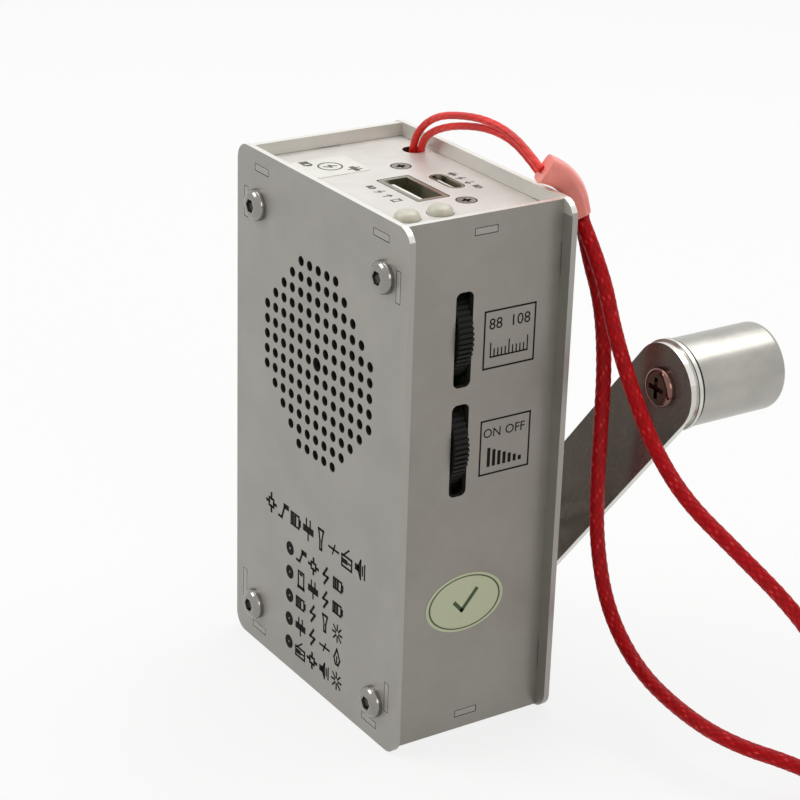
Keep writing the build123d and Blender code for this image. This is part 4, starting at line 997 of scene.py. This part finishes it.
class Glyph(Enum):
    """Plain signs in a square from 0 to 1: each line is its width, then X and Y of its spots."""

    CRANK = ((0.12, 0.0, 0.15, 0.32, 0.15, 0.62, 0.8), (0.24, 0.66, 0.82, 0.92, 0.82))
    BOLT = ((0.13, 0.62, 1.0, 0.25, 0.5), (0.11, 0.25, 0.5, 0.75, 0.5), (0.13, 0.75, 0.5, 0.36, 0.0))
    PHONE = ((0.1, 0.2, 0.0, 0.2, 1.0, 0.8, 1.0, 0.8, 0.0), (0.16, 0.2, 0.05, 0.8, 0.05),
             (0.1, 0.4, 0.85, 0.6, 0.85))
    PLUG = ((0.1, 0.3, 1.0, 0.3, 0.65), (0.1, 0.7, 1.0, 0.7, 0.65), (0.32, 0.15, 0.5, 0.85, 0.5),
            (0.1, 0.5, 0.35, 0.5, 0.0))
    LAMP = ((0.12, 0.25, 1.0, 0.75, 1.0),
            (0.1, 0.25, 1.0, 0.4, 0.45, 0.4, 0.0, 0.6, 0.0, 0.6, 0.45, 0.75, 1.0))
    RAYS = ((0.09, 0.5, 0.7, 0.5, 1.0), (0.09, 0.5, 0.3, 0.5, 0.0), (0.09, 0.7, 0.5, 1.0, 0.5),
            (0.09, 0.3, 0.5, 0.0, 0.5), (0.09, 0.64, 0.64, 0.88, 0.88), (0.09, 0.36, 0.36, 0.12, 0.12),
            (0.09, 0.64, 0.36, 0.88, 0.12), (0.09, 0.36, 0.64, 0.12, 0.88))
    SPARK = ((0.1, 0.0, 0.5, 0.38, 0.5), (0.1, 1.0, 0.5, 0.62, 0.5),
             (0.08, 0.38, 0.25, 0.55, 0.6, 0.45, 0.4, 0.62, 0.75))
    FLAME = ((0.1, 0.5, 1.0, 0.2, 0.4, 0.35, 0.05, 0.65, 0.05, 0.82, 0.4, 0.5, 1.0),
             (0.09, 0.5, 0.5, 0.5, 0.2))
    RADIO = ((0.1, 0.0, 0.05, 1.0, 0.05, 1.0, 0.6, 0.0, 0.6, 0.0, 0.05), (0.08, 0.15, 0.6, 0.7, 1.0),
             (0.22, 0.2, 0.33, 0.42, 0.33), (0.08, 0.6, 0.33, 0.85, 0.33))
    SPEAKER = ((0.3, 0.17, 0.5, 0.28, 0.5), (0.1, 0.25, 0.5, 0.55, 0.95, 0.55, 0.05, 0.25, 0.5),
               (0.09, 0.75, 0.3, 0.75, 0.7), (0.09, 0.95, 0.15, 0.95, 0.85))
    BATTERY = ((0.1, 0.0, 0.2, 0.85, 0.2, 0.85, 0.8, 0.0, 0.8, 0.0, 0.2), (0.16, 0.95, 0.4, 0.95, 0.6),
               (0.16, 0.2, 0.35, 0.2, 0.65), (0.16, 0.45, 0.35, 0.45, 0.65))
    GEAR = ((0.1, 0.25, 0.3, 0.25, 0.7, 0.75, 0.7, 0.75, 0.3, 0.25, 0.3), (0.14, 0.5, 0.7, 0.5, 0.95),
            (0.14, 0.5, 0.3, 0.5, 0.05), (0.14, 0.25, 0.5, 0.0, 0.5), (0.14, 0.75, 0.5, 1.0, 0.5))
    ARROW_OUT = ((0.12, 0.5, 0.0, 0.5, 0.9), (0.12, 0.2, 0.6, 0.5, 0.95, 0.8, 0.6))
    ARROW_IN = ((0.12, 0.5, 0.1, 0.5, 1.0), (0.12, 0.2, 0.4, 0.5, 0.05, 0.8, 0.4))


class Print:
    """Flat marks collected in a plate's own plane, in millimetres, and laid on it as one piece."""

    BOLDNESS = 1.3  # Width of a printed line, by the width that its sign gives.
    WELD = 1e-5

    def __init__(self, name: str) -> None:
        """Starts with nothing printed.

        Args:
            name: The piece's name.
        """
        self.name = name
        self.bm = bmesh.new()

    def bar(self, width: float, start: Spot, end: Spot) -> None:
        """Adds a straight stroke.

        Args:
            width: Its width.
            start: Its first end.
            end: Its second end.
        """
        run = Vector((end[0] - start[0], end[1] - start[1]))
        middle = Vector(((start[0] + end[0]) / 2, (start[1] + end[1]) / 2, 0.0))
        place = Matrix.Translation(middle) @ Matrix.Rotation(math.atan2(run.y, run.x), 4, "Z")
        place = place @ Matrix.Diagonal((run.length + width, width, 1.0, 1.0))
        bmesh.ops.create_grid(self.bm, x_segments=1, y_segments=1, size=0.5, matrix=place)

    def line(self, width: float, spots: Sequence[Spot]) -> None:
        """Adds straight strokes from each spot to the next.

        Args:
            width: Their width.
            spots: The spots.
        """
        for start, end in zip(spots, spots[1:]):
            self.bar(width, start, end)

    def dot(self, centre: Spot, half: Spot, sides: int = 28) -> None:
        """Adds a filled disc or oval.

        Args:
            centre: Its middle.
            half: Half its width and height.
            sides: Its number of sides.
        """
        place = Matrix.Translation((*centre, 0.0)) @ Matrix.Diagonal((*half, 1.0, 1.0))
        bmesh.ops.create_circle(self.bm, cap_ends=True, segments=sides, radius=1.0, matrix=place)

    def ring(self, centre: Spot, outer: float, inner: float, sides: int = 32) -> None:
        """Adds a flat ring.

        Args:
            centre: Its middle.
            outer: Its outer radius.
            inner: Its inner radius.
            sides: Its number of sides.
        """
        place = Matrix.Translation((*centre, 0.0))
        loops = []
        for radius in (outer, inner):
            made = bmesh.ops.create_circle(self.bm, segments=sides, radius=radius, matrix=place)["verts"]
            loops += {edge for vertex in made for edge in vertex.link_edges}
        bmesh.ops.bridge_loops(self.bm, edges=loops)

    def frame(self, low: Spot, high: Spot, width: float) -> None:
        """Adds a rectangle's outline.

        Args:
            low: Its lower left corner.
            high: Its upper right corner.
            width: The line's width.
        """
        (x0, y0), (x1, y1) = low, high
        self.line(width, ((x0, y0), (x1, y0), (x1, y1), (x0, y1), (x0, y0)))

    def sign(self, glyph: Glyph, low: Spot, size: Spot) -> None:
        """Adds one of the plain signs.

        Args:
            glyph: The sign.
            low: Its lower left corner.
            size: Its width and height.
        """
        for width, *flat in glyph.value:
            spots = [(low[0] + x * size[0], low[1] + y * size[1]) for x, y in zip(flat[::2], flat[1::2])]
            self.line(self.BOLDNESS * width * size[0], spots)

    def row(self, glyphs: Iterable[Glyph], low: Spot, pitch: float, size: Spot) -> None:
        """Adds plain signs side by side.

        Args:
            glyphs: The signs.
            low: The first one's lower left corner.
            pitch: Step from each to the next.
            size: Width and height of each.
        """
        for place, glyph in enumerate(glyphs):
            self.sign(glyph, (low[0] + place * pitch, low[1]), size)

    def words(self, text: str, centre: Spot, height: float) -> None:
        """Adds numbers or short words in the built-in face.

        Args:
            text: The characters.
            centre: Their middle.
            height: Their size.
        """
        data = bpy.data.curves.new("words", "FONT")
        data.body, data.size, data.align_x, data.align_y = text, height, "CENTER", "CENTER"
        data.resolution_u = 3
        mesh = mesh_of(data)
        mesh.transform(Matrix.Translation((*centre, 0.0)))
        self.bm.from_mesh(mesh)
        bpy.data.meshes.remove(mesh)

    def lay(self, plate: Matrix, shop: Paintshop, finish: Finish, slot: str, lift: float = 0.0,
            thick: float = 0.03) -> bpy.types.Object:
        """Gives the marks a little thickness and lays them on a plate.

        Args:
            plate: Matrix from the plate's plane, in millimetres, to the frame, in metres.
            shop: The paint shop.
            finish: The marks' finish.
            slot: The record's material slot. Not used.
            lift: Height above the plate, in millimetres.
            thick: Thickness, in millimetres.

        Returns:
            The printed piece.
        """
        bm = self.bm
        bmesh.ops.remove_doubles(bm, verts=bm.verts, dist=self.WELD)
        raised = bmesh.ops.extrude_face_region(bm, geom=list(bm.faces), use_keep_orig=True)["geom"]
        top = [item for item in raised if isinstance(item, bmesh.types.BMVert)]
        bmesh.ops.translate(bm, verts=top, vec=(0.0, 0.0, thick))
        bmesh.ops.translate(bm, verts=bm.verts, vec=(0.0, 0.0, lift))
        bmesh.ops.recalc_face_normals(bm, faces=bm.faces)
        bmesh.ops.transform(bm, matrix=plate, verts=bm.verts)
        piece = piece_from(bm, self.name)
        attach(piece, "case")
        shop.coat(piece, finish)
        return piece


def plane_on(origin: Point, right: Point, up: Point) -> Matrix:
    """Matrix from a plane drawn in millimetres to the frame in metres.

    Args:
        origin: The plane's zero, in millimetres.
        right: Direction of its first axis.
        up: Direction of its second axis.

    Returns:
        The matrix.
    """
    out = Vector(right).cross(Vector(up))
    turn = Matrix((right, up, out)).transposed().to_4x4()
    return Matrix.Scale(MM, 4) @ Matrix.Translation(origin) @ turn


@dataclass
class FrontLegend:
    """Signs under the grille: one long row, and five short rows with bullets."""

    front_y: float = -18.2
    title_z: float = 34.3
    title_x: float = -18.6
    title_pitch: float = 4.85
    title_size: Spot = (3.6, 4.3)
    bullet_x: float = -9.2
    bullet_radius: float = 1.45
    bullet_hole: float = 0.22
    bullet_centre: float = 0.20
    row_top_z: float = 27.3
    row_pitch: float = 5.3
    sign_x: float = -6.5
    sign_pitch: float = 4.7
    sign_size: Spot = (3.5, 3.6)
    title: Sequence[Glyph] = (Glyph.GEAR, Glyph.CRANK, Glyph.BATTERY, Glyph.PLUG, Glyph.LAMP, Glyph.SPARK,
                              Glyph.RADIO, Glyph.SPEAKER)
    rows: Sequence[Sequence[Glyph]] = (
        (Glyph.CRANK, Glyph.GEAR, Glyph.BOLT, Glyph.BATTERY),
        (Glyph.PHONE, Glyph.PLUG, Glyph.BOLT, Glyph.BATTERY),
        (Glyph.BATTERY, Glyph.BOLT, Glyph.LAMP, Glyph.RAYS),
        (Glyph.PLUG, Glyph.BOLT, Glyph.SPARK, Glyph.FLAME),
        (Glyph.RADIO, Glyph.GEAR, Glyph.SPEAKER, Glyph.RAYS),
    )

    def build(self, shop: Paintshop) -> None:
        """Prints the legend.

        Args:
            shop: The paint shop.
        """
        plate = plane_on((0.0, self.front_y, 0.0), (1, 0, 0), (0, 0, 1))
        marks, centres = Print("front_legend"), Print("front_bullet_centres")
        title_low = (self.title_x, self.title_z - self.title_size[1] / 2)
        marks.row(self.title, title_low, self.title_pitch, self.title_size)
        for number, row in enumerate(self.rows):
            z = self.row_top_z - number * self.row_pitch
            marks.ring((self.bullet_x, z), self.bullet_radius, self.bullet_hole)
            centres.dot((self.bullet_x, z), (self.bullet_centre, self.bullet_centre))
            marks.row(row, (self.sign_x, z - self.sign_size[1] / 2), self.sign_pitch, self.sign_size)
        marks.lay(plate, shop, Mould.INK.value, "switch_black")
        centres.lay(plate, shop, Mould.PALE_INK.value, "steel_plate")
        LOG.info("front legend")


@dataclass
class SideMarks:
    """Framed scales beside the thumb wheels, and the oval sticker with its tick."""

    side_x: float = 28.1
    line: float = 0.34
    tuning: tuple[Spot, Spot] = ((0.55, 75.7), (11.85, 87.0))
    numbers: Sequence[tuple[str, float]] = (("88", -3.2), ("108", 2.3))
    numbers_rise: float = 8.6
    numbers_size: float = 3.1
    rule_inset: float = 1.5
    rule_rise: float = 2.2
    rule_line: float = 0.3
    rule_steps: int = 10
    tick_line: float = 0.26
    tick_tops: Spot = (3.7, 5.0)
    volume: tuple[Spot, Spot] = ((0.75, 54.1), (11.9, 65.1))
    labels: Sequence[tuple[str, float]] = (("ON", -3.0), ("OFF", 2.2))
    labels_rise: float = 8.3
    labels_size: float = 2.6
    bars_inset: float = 2.0
    bars_foot: float = 1.8
    bars_width: float = 0.7
    bars_steps: int = 6
    bar_low: float = 2.0
    bar_growth: float = 0.5
    sticker_centre: Spot = (-1.35, 28.0)
    sticker_half: Spot = (8.9, 6.1)
    sticker_thick: float = 0.09
    tick_width: float = 0.8
    tick: Sequence[Spot] = ((-2.2, 0.2), (-0.6, -1.6), (2.6, 2.2))

    def _scales(self, marks: Print) -> None:
        """Draws the two framed scales.

        Args:
            marks: The print that takes them.
        """
        (y0, z0), (y1, _) = self.tuning
        marks.frame(*self.tuning, self.line)
        for text, across in self.numbers:
            marks.words(text, ((y0 + y1) / 2 + across, z0 + self.numbers_rise), self.numbers_size)
        foot = z0 + self.rule_rise
        marks.bar(self.rule_line, (y0 + self.rule_inset, foot), (y1 - self.rule_inset, foot))
        for step in range(self.rule_steps + 1):
            y = y0 + self.rule_inset + step * (y1 - y0 - 2 * self.rule_inset) / self.rule_steps
            marks.bar(self.tick_line, (y, foot), (y, z0 + self.tick_tops[step % 5 == 0]))
        (y0, z0), (y1, _) = self.volume
        marks.frame(*self.volume, self.line)
        for text, across in self.labels:
            marks.words(text, ((y0 + y1) / 2 + across, z0 + self.labels_rise), self.labels_size)
        for step in range(self.bars_steps + 1):
            y = y0 + self.bars_inset + step * (y1 - y0 - 2 * self.bars_inset) / self.bars_steps
            top = z0 + self.bar_low + self.bar_growth * (self.bars_steps - step)
            marks.bar(self.bars_width, (y, z0 + self.bars_foot), (y, top))

    def build(self, shop: Paintshop) -> None:
        """Prints the frames and sticks the sticker.

        Args:
            shop: The paint shop.
        """
        plate = plane_on((self.side_x, 0.0, 0.0), (0, 1, 0), (0, 0, 1))
        marks = Print("side_frames")
        self._scales(marks)
        marks.lay(plate, shop, Mould.INK.value, "switch_black")

        sticker = Print("oval_sticker")
        sticker.dot(self.sticker_centre, self.sticker_half, sides=72)
        centre = tuple(value * MM for value in self.sticker_centre)
        half = tuple(value * MM for value in self.sticker_half)
        paper = OvalPaper("sticker_paper", (0.56, 0.60, 0.40), 0.45, centre=centre, half=half)
        sticker.lay(plate, shop, paper, "steel_plate", thick=self.sticker_thick)
        tick = Print("sticker_tick")
        y, z = self.sticker_centre
        tick.line(self.tick_width, [(y + across, z + up) for across, up in self.tick])
        tick.lay(plate, shop, Mould.TICK.value, "switch_black", lift=self.sticker_thick)
        LOG.info("side frames and sticker")


@dataclass
class TopMarks:
    """Signs by the sockets, and the white label with three signs of its own."""

    top_z: float = 103.5
    output_low: Spot = (-1.9, -7.2)
    output_signs: Sequence[Glyph] = (Glyph.BATTERY, Glyph.BOLT, Glyph.ARROW_OUT, Glyph.PHONE)
    input_low: Spot = (-1.7, 10.9)
    input_signs: Sequence[Glyph] = (Glyph.PLUG, Glyph.BOLT, Glyph.ARROW_IN, Glyph.BATTERY)
    pitch: float = 2.9
    size: Spot = (1.8, 1.9)
    label_low: Spot = (-20.9, -12.6)
    label_high: Spot = (-10.2, -0.4)
    label_corner: float = 0.9
    label_thick: float = 0.1
    ring_radii: Spot = (2.5, 2.15)
    label_signs: Sequence[tuple[Glyph, float, float]] = (
        (Glyph.BATTERY, -3.4, 2.6), (Glyph.BOLT, 0.0, 2.4), (Glyph.PLUG, 3.4, 2.6),
    )

    def build(self, shop: Paintshop) -> None:
        """Prints the signs and sticks the label.

        Args:
            shop: The paint shop.
        """
        plate = plane_on((0.0, 0.0, self.top_z), (1, 0, 0), (0, 1, 0))
        marks = Print("socket_signs")
        marks.row(self.output_signs, self.output_low, self.pitch, self.size)
        marks.row(self.input_signs, self.input_low, self.pitch, self.size)
        marks.lay(plate, shop, Mould.FAINT_INK.value, "switch_black")

        label = Print("blank_label")
        middle = [(low + high) / 2 for low, high in zip(self.label_low, self.label_high)]
        spans = [high - low for low, high in zip(self.label_low, self.label_high)]
        place = Matrix.Translation((*middle, 0.0)) @ Matrix.Diagonal((*spans, 1.0, 1.0))
        bmesh.ops.create_grid(label.bm, x_segments=1, y_segments=1, size=0.5, matrix=place)
        bmesh.ops.bevel(label.bm, geom=list(label.bm.verts), offset=self.label_corner, affect="VERTICES",
                        segments=4, profile=0.5, material=-1)
        label.lay(plate, shop, Mould.LABEL.value, "socket_tongue", thick=self.label_thick)

        signs = Print("label_signs")
        signs.ring(tuple(middle), *self.ring_radii)
        for glyph, step, size in self.label_signs:
            low = (middle[0] + step - size / 2, middle[1] + step - size / 2)
            signs.sign(glyph, low, (size, size))
        signs.lay(plate, shop, Mould.FAINT_INK.value, "switch_black", lift=self.label_thick)
        LOG.info("top signs and label")


class Casework:
    """The CAD nodes that stay as they are, each with its finish."""

    FINISHES: dict[Finish, Sequence[str]] = {
        Steel.END.value: ("front_plate", "back_plate"),
        Steel.SIDE.value: ("left_plate", "right_plate"),
        Steel.LID.value: ("top_plate", "bottom_plate"),
        Steel.INNER.value: ("gearbox_plate", "gearbox_pillars", "board_posts", "idler_axle", "crank_shaft",
                            "generator_can", "generator_endplate", "igniter_electrodes"),
        Metal.LID_SCREW.value: ("lid_screws",),
        Metal.GRIP_SCREW.value: ("grip_screw",),
        Metal.SCREW.value: ("corner_bolts", "corner_nuts", "gearbox_screws", "crank_screw",
                            "hub_set_screw"),
        Steel.ARM.value: ("crank_arm",),
        Metal.SOCKET.value: ("usb_a_shell", "usb_c_shell"),
        Metal.CUP.value: ("torch_housing",),
        Metal.BRASS.value: ("shaft_bushes",),
        Metal.GRIP.value: ("handle_grip", "grip_cap"),
        Metal.FITTING.value: ("grip_washer", "grip_spindle", "crank_hub"),
        Mould.WHEEL.value: ("tuning_wheel", "volume_wheel"),
        Mould.CONTROL.value: ("tuning_capacitor", "volume_control", "aerial_clips"),
        Mould.GEAR.value: ("crank_gear", "idler_gear"),
        Mould.BOARD.value: ("radio_board", "usb_board", "side_board"),
        Mould.TONGUE.value: ("usb_tongues",),
        Mould.SWITCH.value: ("torch_switch", "igniter_button"),
        Mould.CERAMIC.value: ("igniter_insert",),
        Mould.BATTERY.value: ("battery_pack",),
        Mould.MAGNET.value: ("generator_rotor", "speaker_magnet", "ferrite_rod"),
        Mould.WINDING.value: ("generator_stator", "aerial_coil"),
        Mould.BASKET.value: ("speaker_frame",),
        Mould.CONE.value: ("speaker_cone",),
        Soft.LAMP.value: ("indicator_leds",),
        Soft.LENS.value: ("torch_lens",),
    }

    def build(self, nodes: dict[str, bpy.types.Object], shop: Paintshop) -> None:
        """Coats each node.

        Args:
            nodes: The CAD nodes.
            shop: The paint shop.
        """
        for finish, names in self.FINISHES.items():
            for name in names:
                shop.coat(nodes[name], finish)
        LOG.info("%d finishes on the case and its works", len(self.FINISHES))


def main() -> None:
    """Builds the scene around the CAD frame."""
    logging.basicConfig(level=logging.INFO, format="%(message)s")
    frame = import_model()
    nodes = frame["nodes"]
    shop = Paintshop()
    Studio().build()
    Lanyard().build(nodes, shop)
    Casework().build(nodes, shop)
    FrontLegend().build(shop)
    SideMarks().build(shop)
    TopMarks().build(shop)


if __name__ == "__main__":
    main()
